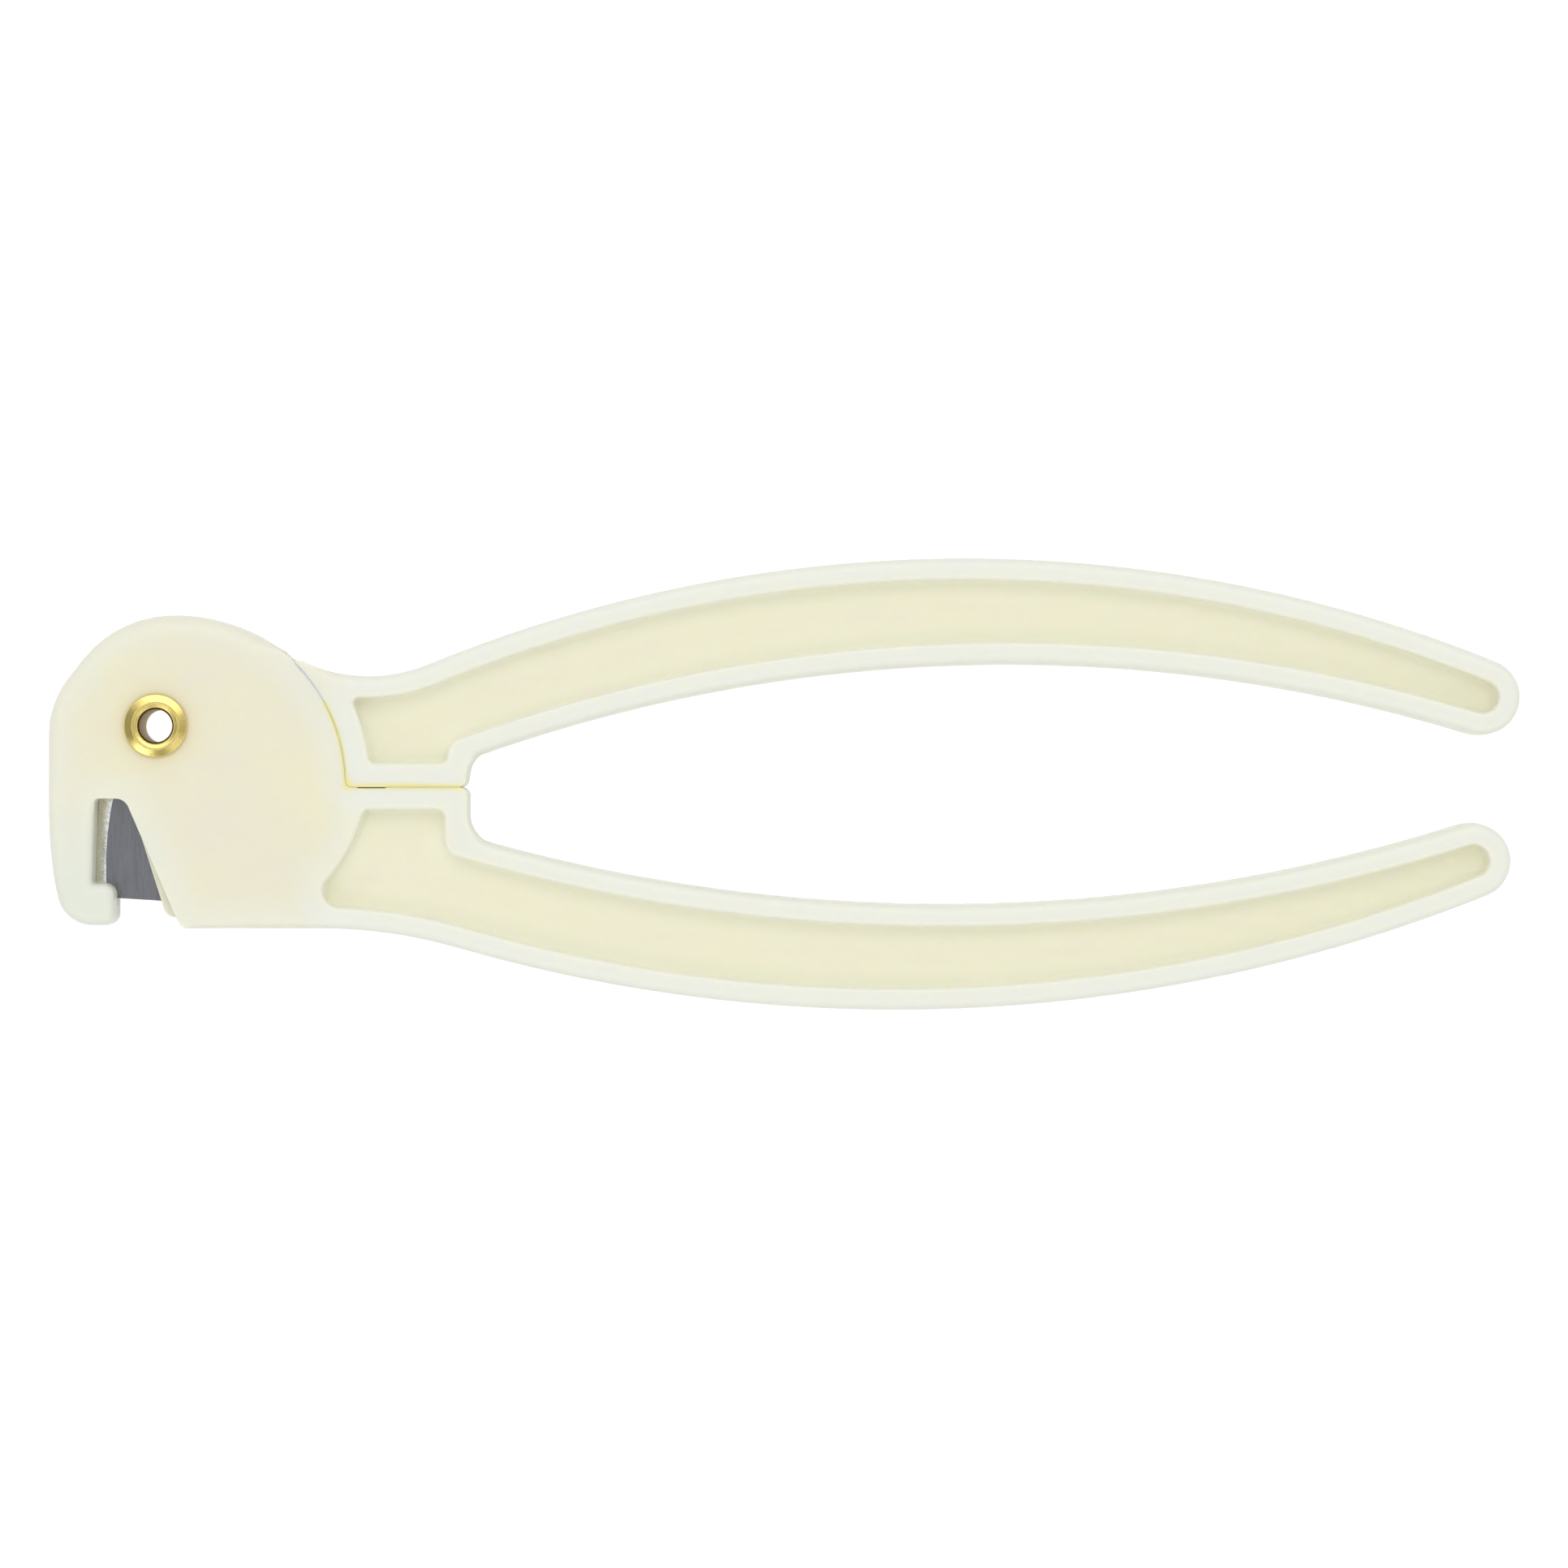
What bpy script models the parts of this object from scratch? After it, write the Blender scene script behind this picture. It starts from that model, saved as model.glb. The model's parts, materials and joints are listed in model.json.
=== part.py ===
"""Umbilical cord cutter, closed, lying on its rear face.

Two moulded plastic handles turn on a hollow brass rivet. The lower handle ends in a fork, the head,
with a notch that takes the cord clamp. The upper handle ends in a tongue that runs inside the fork and
carries a ground steel blade across the notch.

Everything is drawn in the plane of the tool as a complex number: the real axis points along the tool
towards the grips, the imaginary axis across it towards the upper grip, and zero is the centre of the
head's round. Height, the third direction, is zero at the table.
"""
from collections import namedtuple
from math import acos, ceil, copysign, cos, pi, radians, sin, sqrt, tan

import bmesh
import bpy
import numpy as np

MM = 0.001

# Thickness of the pieces, from the table up
THICKNESS = 9.0 * MM            # grips and head, face to face
WEB = 3.0 * MM                  # sunken floor between the ribs of a grip
BLADE_THICKNESS = 0.8 * MM
TONGUE_LAYER = 1.2 * MM         # plastic on each side of the blade
CLEARANCE = 0.3 * MM            # between pieces that touch or turn on each other

# Moulded edges
DRAFT = radians(1.0)            # the walls lean in from the parting line, halfway up
RIB_WIDTH = 2.45 * MM
RIB_EDGE = 1.0 * MM
HEAD_EDGE = 1.65 * MM
HOOK_EDGE = 1.0 * MM
NECK_EDGE = 0.45 * MM
MATING_EDGE = 0.3 * MM          # along the notch and the stop faces
FLOOR_FILLET = 0.8 * MM         # between the sunken floor and its ribs
RECESS_CORNER = 0.95 * MM
RECESS_CROTCH = 2.0 * MM        # where the recess turns from the stop into the grip

# The head
HEAD_RADIUS = 18.4 * MM
HEAD_LEFT = 14.0 * MM           # from the head's centre to the straight left edge
HEAD_FLAT_DEPTH = 1.95 * MM     # cut off the round by the flat next to the left edge
HEAD_FLAT_HEADING = radians(-128)
HEAD_BOTTOM = 15.78 * MM
HEAD_ROUND_TO_FLAT = 12.5 * MM
HEAD_FLAT_TO_LEFT = 10.0 * MM
ARM_RADIUS = 50.0 * MM          # the left edge bends inwards on its way to the hook
ARM_BEND_START = 2.5 * MM       # below the centre line
ARM_CORNER = 4.0 * MM
INNER_CORNER = 0.3 * MM         # where two faces of the moulding meet in a sharp inner corner

# The hook and the notch
HOOK_BOTTOM = 15.42 * MM
HOOK_TOP = 10.75 * MM
HOOK_END = 6.65 * MM
HOOK_CORNER = 1.25 * MM
NOTCH_TOP = 1.6 * MM
NOTCH_WALL = 9.0 * MM
NOTCH_WALL_HEADING = radians(88.4)
NOTCH_CORNER = 0.4 * MM
NOTCH_WIDTH = 4.0 * MM          # from the wall to the slanted jaw, at the depth below
JAW_DEPTH = 1.2 * MM            # from the top of the notch to the point where its width is given
JAW_HEADING = radians(-66.6)
JAW_CORNER = 1.5 * MM

# The pivot
PIVOT_LEFT = 2.15 * MM          # of the head's centre
PIVOT_ABOVE = 6.3 * MM
RIVET_RADIUS = 2.1 * MM
RIVET_BORE = 1.78 * MM
FLANGE_RADIUS = 3.43 * MM
FLANGE_HEIGHT = 0.55 * MM
FLANGE_RIM = 0.1 * MM
FLANGE_ROLL = 0.93 * MM         # width of the rolled outer part of the flange
FLANGE_BEAD = 0.3 * MM          # half the width of the bead round the mouth
RIVET_STEPS = 36

# The tongue and the blade
HUB_RADIUS = 5.4 * MM           # the tongue's plastic round the rivet
TONGUE_REACH = 2.5 * MM         # its round end about the pivot is this much wider than the head's round
TONGUE_CORNER = 1.2 * MM
TONGUE_EDGE_HEADING = radians(-72.4)
TONGUE_BACK_HEADING = radians(-102)
TONGUE_PROUD = 0.15 * MM        # above the round of the head
TONGUE_ROOT = 1.2 * MM          # into the neck
TONGUE_TOP_RADIUS = 17.0 * MM   # smaller than the head's round, so it sinks below that past the neck
TONGUE_SHOULDER = 3.0 * MM      # corner between its round top and its back
OPENING_ROOM = radians(28)      # the slot lets the tongue turn this far
BLADE_HUB = 4.0 * MM
BLADE_BACK_HEADING = radians(-109)
BLADE_OVERLAP = 0.7 * MM        # the cutting edge passes the wall of the notch by this much
BLADE_REACH_STATION = 9.0 * MM  # below the centre line
BLADE_EDGE_RADIUS = 38.0 * MM
BLADE_GRIND = 1.8 * MM          # width of the ground band
BLADE_LAND = 0.1 * MM           # thickness left at the very edge
BLADE_ABOVE_NOTCH = 1.6 * MM    # where the cutting edge starts, inside the fork
BLADE_PAST_HOOK = 0.25 * MM     # where the blade's end is level with the end of the hook
BLADE_BELOW_HOOK = 1.71 * MM    # how far that point lies below the top of the hook
BLADE_END_HEADING = radians(-4)
BLADE_WIDTH = 6.8 * MM          # along its end
BLADE_DROP = 0.44 * MM          # how far its end falls along that width
BLADE_SPINE_HEADING = radians(68)
BLADE_HEEL_CORNER = 1.0 * MM
BLADE_SPINE_CORNER = 3.0 * MM
TANG_BOTTOM = 0.05 * MM
TANG_TOP = 7.0 * MM
TANG_REACH = 4.2 * MM           # past the head's round, into the upper handle
TANG_CORNER = 2.0 * MM          # where the tang grows out of the hub
OVERTRAVEL_ROOM = 0.5 * MM      # past the cutting edge, in the arm
SLOT_PAST_HOOK = 2.0 * MM       # how far past the hook's end the blade's slot turns back to the pivot
SLOT_MOUTH_HEADING = radians(5) # the tongue slot's floor leaves the head nearly level with the stop face

# The neck and the stop faces
SHOULDER_GAP = 0.5 * MM         # between the head's round and the neck
VALLEY_RADIUS = 17.7 * MM
SHOULDER_CORNER = 0.8 * MM
WEDGE_TIP = 0.25 * MM           # the blunt end of the neck where it runs out on the head
STOP_DROP = 0.18 * MM           # of the upper stop face below the centre line
STOP_GAP = 0.35 * MM            # left open between the stop faces when closed
STOP_CORNER = 0.9 * MM
UPPER_STOP_END = 31.4 * MM
UPPER_STOP_HEADING = radians(73)
UPPER_CROTCH = 3.6 * MM
LOWER_STOP_END = 31.9 * MM
LOWER_CROTCH = 3.0 * MM
RECESS_END_ALONG = 2.9 * MM     # centre of the round wall that ends the lower recess behind the slot
RECESS_END_ABOVE = 1.5 * MM
RECESS_END_RADIUS = 18.0 * MM
BELLY_RADIUS = 55.0 * MM        # from the bottom of the head into the lower grip

# The grips: each is a crescent between two arcs, given by the place of their crown and their radius
UPPER_OUTER_ALONG = 85.66 * MM
UPPER_OUTER_ACROSS = 24.58 * MM
UPPER_OUTER_RADIUS = 153.6 * MM
UPPER_INNER_ALONG = 90.27 * MM
UPPER_INNER_ACROSS = 12.95 * MM
UPPER_INNER_RADIUS = 172.2 * MM
UPPER_TIP_RADIUS = 4.19 * MM
LOWER_INNER_ALONG = 83.47 * MM
LOWER_INNER_ACROSS = -13.05 * MM
LOWER_INNER_RADIUS = 185.9 * MM
LOWER_OUTER_ALONG = 78.14 * MM
LOWER_OUTER_ACROSS = -24.62 * MM
LOWER_OUTER_RADIUS = 172.0 * MM
LOWER_TIP_RADIUS = 4.145 * MM

# Rough headings, from the head's centre, of corners whose two curves cross more than once
ROUND_TO_FLAT_AT = radians(115)
WEDGE_AT = radians(47)
VALLEY_TO_HEAD_AT = radians(40)
ROOT_TO_VALLEY_AT = radians(38)
SHOULDER_TO_VALLEY_AT = radians(26)
CORE_TO_BELLY_AT = radians(-45)
TONGUE_LOW_AT = radians(-85)

# Worked out from the sizes above
MIDDLE = THICKNESS / 2
PIVOT = -PIVOT_LEFT + 1j * PIVOT_ABOVE
HEAD_FLAT = HEAD_RADIUS - HEAD_FLAT_DEPTH
JAW_TOP = NOTCH_WIDTH - NOTCH_WALL - 1j * (NOTCH_TOP + JAW_DEPTH)
TONGUE_RADIUS = HEAD_RADIUS + TONGUE_REACH
TANG_END = HEAD_RADIUS + TANG_REACH
BLADE_REACH = NOTCH_WALL + BLADE_OVERLAP
BLADE_TOP = NOTCH_TOP - BLADE_ABOVE_NOTCH
BLADE_END = BLADE_PAST_HOOK - HOOK_END - 1j * (HOOK_TOP + BLADE_BELOW_HOOK)
BLADE_SPINE = BLADE_END + BLADE_WIDTH - 1j * BLADE_DROP
UPPER_OUTER_CROWN = UPPER_OUTER_ALONG + 1j * UPPER_OUTER_ACROSS
UPPER_INNER_CROWN = UPPER_INNER_ALONG + 1j * UPPER_INNER_ACROSS
LOWER_INNER_CROWN = LOWER_INNER_ALONG + 1j * LOWER_INNER_ACROSS
LOWER_OUTER_CROWN = LOWER_OUTER_ALONG + 1j * LOWER_OUTER_ACROSS
POCKET = BLADE_THICKNESS + 2 * CLEARANCE
TONGUE = POCKET + 2 * TONGUE_LAYER
SLOT = TONGUE + 2 * CLEARANCE
SLOT_RADIUS = TONGUE_RADIUS + CLEARANCE
PIVOT_HOLE = RIVET_RADIUS + CLEARANCE
FLANGE_SEAT = FLANGE_RADIUS + CLEARANCE
NECK_TOP = HEAD_RADIUS + TONGUE_PROUD
SHOULDER = HEAD_RADIUS + SHOULDER_GAP
STOP_LEVEL = -1j * (STOP_DROP + STOP_GAP)
CHORD_ERROR = 0.03 * MM         # how far a facet may lie inside its arc
EDGE_MARGIN = MIDDLE * tan(DRAFT) + 0.05 * MM   # a moulded edge stays this much rounder than its corner
ROUND_STEPS = 2
BEYOND = 10.0 * MM              # how far a cutter runs past what it cuts

Line = namedtuple("Line", "point heading")
Arc = namedtuple("Arc", "centre radius turn")
Side = namedtuple("Side", "path edge corner near")


def heading(angle):
    """A direction in the plane, as a complex number of length one."""
    return complex(cos(angle), sin(angle))


def flat(distance, direction):
    """A line that passes the head's centre on its left at a given distance."""
    return Line(-1j * direction * distance, direction)


def crescent_arc(crown, radius, turn):
    """The arc of a grip through its crown, bulging up for the upper grip and down for the lower."""
    return Arc(crown - 1j * copysign(radius, crown.imag), radius, turn)


def across(a, b):
    """How far b turns to the left of a."""
    return (a.conjugate() * b).imag


def shifted(path, gap):
    """The same line or arc moved to its left, into the material."""
    if isinstance(path, Line):
        return Line(path.point + 1j * path.heading * gap, path.heading)
    return Arc(path.centre, path.radius - path.turn * gap, path.turn)


def nearest_on(path, point):
    """The foot of a point on a line or arc."""
    if isinstance(path, Line):
        return path.point + path.heading * (path.heading.conjugate() * (point - path.point)).real
    return path.centre + (point - path.centre) / abs(point - path.centre) * path.radius


def direction_at(path, point):
    """The direction in which an outline runs through a point of a line or arc."""
    if isinstance(path, Line):
        return path.heading
    return 1j * path.turn * (point - path.centre) / abs(point - path.centre)


def meet(a, b, near):
    """The crossing of two lines or arcs that lies nearest to a point."""
    if isinstance(a, Line) and isinstance(b, Line):
        return a.point + a.heading * across(b.point - a.point, b.heading) / across(a.heading, b.heading)
    if isinstance(a, Line):
        a, b = b, a
    if isinstance(b, Line):
        foot = nearest_on(b, a.centre)
        chord = b.heading * sqrt(max(a.radius ** 2 - abs(foot - a.centre) ** 2, 0))
    else:
        axis = (b.centre - a.centre) / abs(b.centre - a.centre)
        span = abs(b.centre - a.centre)
        along = (span ** 2 + a.radius ** 2 - b.radius ** 2) / (2 * span)
        foot = a.centre + axis * along
        chord = 1j * axis * sqrt(max(a.radius ** 2 - along ** 2, 0))
    return min(foot + chord, foot - chord, key=lambda crossing: abs(crossing - near))


def rounded_corner(a, b, radius, near):
    """The arc that rounds the corner from a to b, with the points where it starts and ends."""
    tip = meet(a, b, near)
    turn = copysign(1, across(direction_at(a, tip), direction_at(b, tip)))
    centre = meet(shifted(a, turn * radius), shifted(b, turn * radius), tip)
    return Arc(centre, radius, turn), nearest_on(a, centre), nearest_on(b, centre)


def along(path, start, stop):
    """Points on a line or arc from start to stop, close enough for the facets to pass as round."""
    if isinstance(path, Line):
        return [start, stop]
    sweep = across(start - path.centre, stop - path.centre) / path.radius ** 2
    cosine = ((start - path.centre).conjugate() * (stop - path.centre)).real / path.radius ** 2
    angle = np.arctan2(sweep, cosine) * path.turn
    angle = angle if angle > -0.001 else angle + 2 * pi
    step = 2 * acos(1 - min(CHORD_ERROR / path.radius, 0.2))
    count = max(ceil(angle / step), 1)
    turns = path.turn * angle * np.arange(count + 1) / count
    return [path.centre + (start - path.centre) * heading(turn) for turn in turns]


def trace(sides):
    """Points round an outline, counterclockwise, and the radius of the moulded edge at each.

    Each side is a line or arc, the radius of its moulded edge, the radius of the corner that ends it,
    and a point near that corner.
    """
    corners = [rounded_corner(side.path, after.path, side.corner, side.near)
               for side, after in zip(sides, sides[1:] + sides[:1])]
    points, edges = [], []
    for number, side in enumerate(sides):
        bend, leave, arrive = corners[number]
        run = along(side.path, corners[number - 1][2], leave)
        points += run
        edges += [side.edge] * len(run)
        if side.corner:
            after = sides[(number + 1) % len(sides)]
            turned = along(bend, leave, arrive)
            limit = side.corner - EDGE_MARGIN if bend.turn > 0 else max(side.edge, after.edge)
            points += turned
            edges += [min(edge, limit) for edge in np.linspace(side.edge, after.edge, len(turned))]
    points, edges = np.array(points), np.array(edges)
    kept = abs(points - np.roll(points, 1)) > 0.02 * MM
    return points[kept], edges[kept]


def inward(points):
    """The direction into the material at each point of an outline, lengthened at sharp corners."""
    before = points - np.roll(points, 1)
    after = np.roll(points, -1) - points
    before, after = before / abs(before), after / abs(after)
    middle = (before + after) / abs(before + after)
    return 1j * middle / np.maximum((middle.conjugate() * after).real, 0.5)


def wall_behind(points):
    """The distance from each outline point, straight into the material, to the far side."""
    rays = inward(points)
    rays = rays / abs(rays)
    starts, spans = points, np.roll(points, -1) - points
    offsets = starts[None, :] - points[:, None]
    turn = (rays[:, None].conjugate() * spans[None, :]).imag
    turn = np.where(abs(turn) < 1e-12, 1e-12, turn)
    reach = (offsets.conjugate() * spans[None, :]).imag / turn
    share = (offsets.conjugate() * rays[:, None]).imag / turn
    hit = (share >= 0) & (share <= 1) & (reach > 0.01 * MM)
    return np.where(hit, reach, 1.0).min(axis=1)


def loft(name, sections, origin=0j):
    """A closed solid through outlines of as many points each, given with their heights, bottom first."""
    count = len(sections[0][0])
    corners = [(point.real - origin.real, point.imag - origin.imag, height)
               for outline, height in sections for point in outline]
    faces = [tuple(range(count))[::-1], tuple(range(len(corners) - count, len(corners)))]
    for ring in range(0, len(corners) - count, count):
        for number in range(count):
            after = (number + 1) % count
            faces.append((ring + number, ring + after, ring + count + after, ring + count + number))
    mesh = bpy.data.meshes.new(name)
    mesh.from_pydata(corners, [], faces)
    return bpy.data.objects.new(name, mesh)


def moulded(name, outline, origin=0j):
    """A slab of the full thickness with drafted walls and rounded edges on both faces."""
    points, edges = outline
    into = inward(points)
    edges = np.minimum(edges, 0.3 * wall_behind(points))
    half = [(into * MIDDLE * 0, 0 * edges)]
    for step in range(ROUND_STEPS + 1):
        angle = pi / 2 * step / ROUND_STEPS
        rise = MIDDLE - edges * (1 - sin(angle))
        half.append((into * (rise * tan(DRAFT) + edges * (1 - cos(angle))), rise))
    sections = [(points + shift, MIDDLE - rise) for shift, rise in reversed(half[1:])]
    sections += [(points + shift, MIDDLE + rise) for shift, rise in half]
    return stepped_loft(name, sections, origin)


def recess_cutter(name, outline, side):
    """What is sunk into one face between the ribs: rounded at its floor, flared where it leaves."""
    points, _ = outline
    into = inward(points)
    sections = []
    for step in range(ROUND_STEPS + 1):
        angle = pi / 2 * step / ROUND_STEPS
        depth = WEB / 2 + FLOOR_FILLET * (1 - cos(angle))
        sections.append((into * (FLOOR_FILLET * (1 - sin(angle)) - depth * tan(DRAFT)), depth))
    for step in range(ROUND_STEPS + 1):
        angle = pi / 2 * step / ROUND_STEPS
        depth = MIDDLE - RIB_EDGE * (1 - sin(angle))
        sections.append((into * (-RIB_EDGE * (1 - cos(angle)) - depth * tan(DRAFT)), depth))
    sections.append((sections[-1][0], MIDDLE + BEYOND))
    sections = [(points + shift, MIDDLE + side * depth) for shift, depth in sections]
    return loft(name, sections if side > 0 else sections[::-1])


def stepped_loft(name, sections, origin=0j):
    """A loft whose sections each have a height for every point."""
    count = len(sections[0][0])
    shape = loft(name, [(outline, 0.0) for outline, _ in sections], origin)
    heights = np.concatenate([np.broadcast_to(height, count) for _, height in sections])
    for vertex, height in zip(shape.data.vertices, heights):
        vertex.co.z = height
    return shape


def plate(name, points, low, high, origin=0j):
    """A flat piece with sharp edges, from a filled curve, made a mesh so that it can be cut."""
    curve = bpy.data.curves.new(name, "CURVE")
    curve.dimensions = "2D"
    curve.fill_mode = "BOTH"
    curve.extrude = (high - low) / 2
    spline = curve.splines.new("POLY")
    spline.points.add(len(points) - 1)
    for target, point in zip(spline.points, points):
        target.co = (point.real - origin.real, point.imag - origin.imag, 0, 1)
    spline.use_cyclic_u = True
    drawn = bpy.data.objects.new(name, curve)
    bpy.context.scene.collection.objects.link(drawn)
    drawn.location.z = (low + high) / 2
    graph = bpy.context.evaluated_depsgraph_get()
    mesh = bpy.data.meshes.new_from_object(drawn.evaluated_get(graph))
    mesh.transform(drawn.evaluated_get(graph).matrix_world)
    bpy.data.objects.remove(drawn)
    bpy.data.curves.remove(curve)
    shape = bmesh.new()
    shape.from_mesh(mesh)
    bmesh.ops.remove_doubles(shape, verts=shape.verts, dist=0.001 * MM)
    bmesh.ops.recalc_face_normals(shape, faces=shape.faces)
    shape.to_mesh(mesh)
    shape.free()
    return bpy.data.objects.new(name, mesh)


def round_bar(name, radius, low, high, at=0j):
    """A round cutter standing on the plane of the tool."""
    mesh = bpy.data.meshes.new(name)
    shape = bmesh.new()
    bmesh.ops.create_cone(shape, cap_ends=True, segments=RIVET_STEPS, radius1=radius, radius2=radius,
                          depth=high - low)
    bmesh.ops.translate(shape, verts=shape.verts, vec=(at.real, at.imag, (low + high) / 2))
    shape.to_mesh(mesh)
    shape.free()
    return bpy.data.objects.new(name, mesh)


def place(shape, parent, collection):
    """Put an object in its collection, under the empty that carries it."""
    collection.objects.link(shape)
    shape.parent = parent


def work(target, tool, operation):
    """Cut a tool out of a piece, or join it on, and keep the tool as a hidden guide."""
    place(tool, target.parent, cutters)
    tool.hide_render = True
    tool.display_type = "WIRE"
    modifier = target.modifiers.new(tool.name, "BOOLEAN")
    modifier.operation = operation
    modifier.object = tool


def finish(shape, name, colour, roughness, metallic):
    """Give a piece its own material, and smooth shading where its facets stand for a curve."""
    material = bpy.data.materials.new(name)
    material.use_nodes = True
    surface = material.node_tree.nodes["Principled BSDF"]
    surface.inputs["Base Color"].default_value = (*colour, 1)
    surface.inputs["Roughness"].default_value = roughness
    surface.inputs["Metallic"].default_value = metallic
    material.diffuse_color = (*colour, 1)
    shape.data.materials.append(material)
    shape.data.shade_smooth()
    shape.data.set_sharp_from_angle(angle=radians(35))


def lower_outline():
    """The lower handle: stop face, head, hook, notch, jaw and grip."""
    far = abs(LOWER_OUTER_CROWN) * 2
    outer = crescent_arc(LOWER_OUTER_CROWN, LOWER_OUTER_RADIUS, 1)
    inner = crescent_arc(LOWER_INNER_CROWN, LOWER_INNER_RADIUS, -1)
    round_end = HEAD_RADIUS * heading(ROUND_TO_FLAT_AT)
    notch_wall = Line(-NOTCH_WALL - 1j * HOOK_TOP, heading(NOTCH_WALL_HEADING))
    arm = Arc(ARM_RADIUS - HEAD_LEFT - 1j * ARM_BEND_START, ARM_RADIUS, 1)
    return [
        Side(Line(STOP_LEVEL, -1), MATING_EDGE, INNER_CORNER, HEAD_RADIUS),
        Side(Arc(0, HEAD_RADIUS, 1), HEAD_EDGE, HEAD_ROUND_TO_FLAT, round_end),
        Side(flat(HEAD_FLAT, heading(HEAD_FLAT_HEADING)), HEAD_EDGE, HEAD_FLAT_TO_LEFT, -HEAD_LEFT),
        Side(flat(HEAD_LEFT, -1j), HEAD_EDGE, 0, -HEAD_LEFT - 1j * ARM_BEND_START),
        Side(arm, HEAD_EDGE, ARM_CORNER, -HEAD_LEFT - 1j * HOOK_BOTTOM),
        Side(flat(HOOK_BOTTOM, 1), HOOK_EDGE, HOOK_CORNER, -HOOK_END - 1j * HOOK_BOTTOM),
        Side(Line(-HOOK_END, 1j), HOOK_EDGE, HOOK_CORNER, -HOOK_END - 1j * HOOK_TOP),
        Side(Line(-1j * HOOK_TOP, -1), HOOK_EDGE, INNER_CORNER, notch_wall.point),
        Side(notch_wall, MATING_EDGE, NOTCH_CORNER, -NOTCH_WALL - 1j * NOTCH_TOP),
        Side(Line(-1j * NOTCH_TOP, 1), MATING_EDGE, JAW_CORNER, JAW_TOP),
        Side(Line(JAW_TOP, heading(JAW_HEADING)), MATING_EDGE, JAW_CORNER, -1j * HEAD_BOTTOM),
        Side(flat(HEAD_BOTTOM, 1), HOOK_EDGE, BELLY_RADIUS, HEAD_RADIUS - 1j * HEAD_BOTTOM),
        Side(outer, RIB_EDGE, LOWER_TIP_RADIUS, far),
        Side(inner, RIB_EDGE, LOWER_CROTCH, LOWER_STOP_END),
        Side(Line(LOWER_STOP_END, 1j), MATING_EDGE, STOP_CORNER, LOWER_STOP_END + STOP_LEVEL),
    ]


def upper_outline():
    """The upper handle at full thickness: stop face, grip, valley and the shoulder round the head."""
    far = abs(UPPER_OUTER_CROWN) * 2
    outer = crescent_arc(UPPER_OUTER_CROWN, UPPER_OUTER_RADIUS, 1)
    inner = crescent_arc(UPPER_INNER_CROWN, UPPER_INNER_RADIUS, -1)
    stop_end = Line(UPPER_STOP_END, heading(UPPER_STOP_HEADING))
    return [
        Side(Line(-1j * STOP_DROP, 1), MATING_EDGE, STOP_CORNER, UPPER_STOP_END),
        Side(stop_end, MATING_EDGE, UPPER_CROTCH, UPPER_STOP_END),
        Side(inner, RIB_EDGE, UPPER_TIP_RADIUS, far),
        Side(outer, RIB_EDGE, 0, valley().centre),
        Side(valley(), RIB_EDGE, WEDGE_TIP, SHOULDER * heading(WEDGE_AT)),
        Side(Arc(0, SHOULDER, -1), NECK_EDGE, SHOULDER_CORNER, SHOULDER),
    ]


def valley():
    """The hollow between the head and the upper grip, tangent to both."""
    outer = crescent_arc(UPPER_OUTER_CROWN, UPPER_OUTER_RADIUS, 1)
    near = NECK_TOP * heading(VALLEY_TO_HEAD_AT)
    return rounded_corner(outer, Arc(0, NECK_TOP, 1), VALLEY_RADIUS, near)[0]


def sunk(side, corner):
    """A side of the recess in a grip: one rib's width in from the outline."""
    return side._replace(path=shifted(side.path, RIB_WIDTH), corner=corner)


def upper_recess():
    """The hollow between the ribs of the upper handle."""
    stop, stop_end, inner, outer, hollow, shoulder = upper_outline()
    hollow = hollow._replace(near=SHOULDER * heading(SHOULDER_TO_VALLEY_AT))
    return trace([sunk(stop, RECESS_CORNER), sunk(stop_end, RECESS_CROTCH),
                  sunk(inner, UPPER_TIP_RADIUS - RIB_WIDTH), sunk(outer, 0),
                  sunk(hollow, RECESS_CORNER), sunk(shoulder, RECESS_CORNER)])


def lower_recess():
    """The hollow between the ribs of the lower handle, ended by the wall behind the slot."""
    sides = lower_outline()
    stop, bottom, outer, inner, stop_end = sides[0], *sides[-4:]
    belly = rounded_corner(bottom.path, outer.path, BELLY_RADIUS, bottom.near)[0]
    behind_slot = Arc(RECESS_END_ALONG + 1j * RECESS_END_ABOVE, RECESS_END_RADIUS, -1)
    return trace([
        sunk(stop, RECESS_CORNER),
        Side(behind_slot, 0, RECESS_CORNER, HEAD_RADIUS * heading(CORE_TO_BELLY_AT)),
        sunk(Side(belly, 0, 0, bottom.near), 0), sunk(outer, LOWER_TIP_RADIUS - RIB_WIDTH),
        sunk(inner, RECESS_CROTCH), sunk(stop_end, RECESS_CORNER)])


def blade_sides():
    """The blade's outline: tang, hub, cutting edge and free end."""
    edge_centre = BLADE_EDGE_RADIUS - BLADE_REACH - 1j * BLADE_REACH_STATION
    back = heading(BLADE_BACK_HEADING)
    corner = -BLADE_REACH - 1j * BLADE_TOP
    return [
        Side(Line(1j * TANG_BOTTOM, 1), 0, 0, TANG_END),
        Side(Line(TANG_END, 1j), 0, 0, TANG_END + 1j * TANG_TOP),
        Side(Line(1j * TANG_TOP, -1), 0, TANG_CORNER, PIVOT + BLADE_HUB),
        Side(Arc(PIVOT, BLADE_HUB, 1), 0, 0, PIVOT - BLADE_HUB),
        Side(Line(PIVOT - 1j * back * BLADE_HUB, back), 0, 0, corner),
        Side(Arc(edge_centre, BLADE_EDGE_RADIUS, 1), 0, 0, -BLADE_REACH - 1j * HOOK_TOP),
        Side(Line(BLADE_END, heading(BLADE_END_HEADING)), 0, BLADE_HEEL_CORNER, BLADE_SPINE),
        Side(Line(BLADE_SPINE, heading(BLADE_SPINE_HEADING)), 0, BLADE_SPINE_CORNER, BLADE_SPINE),
    ]


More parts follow.
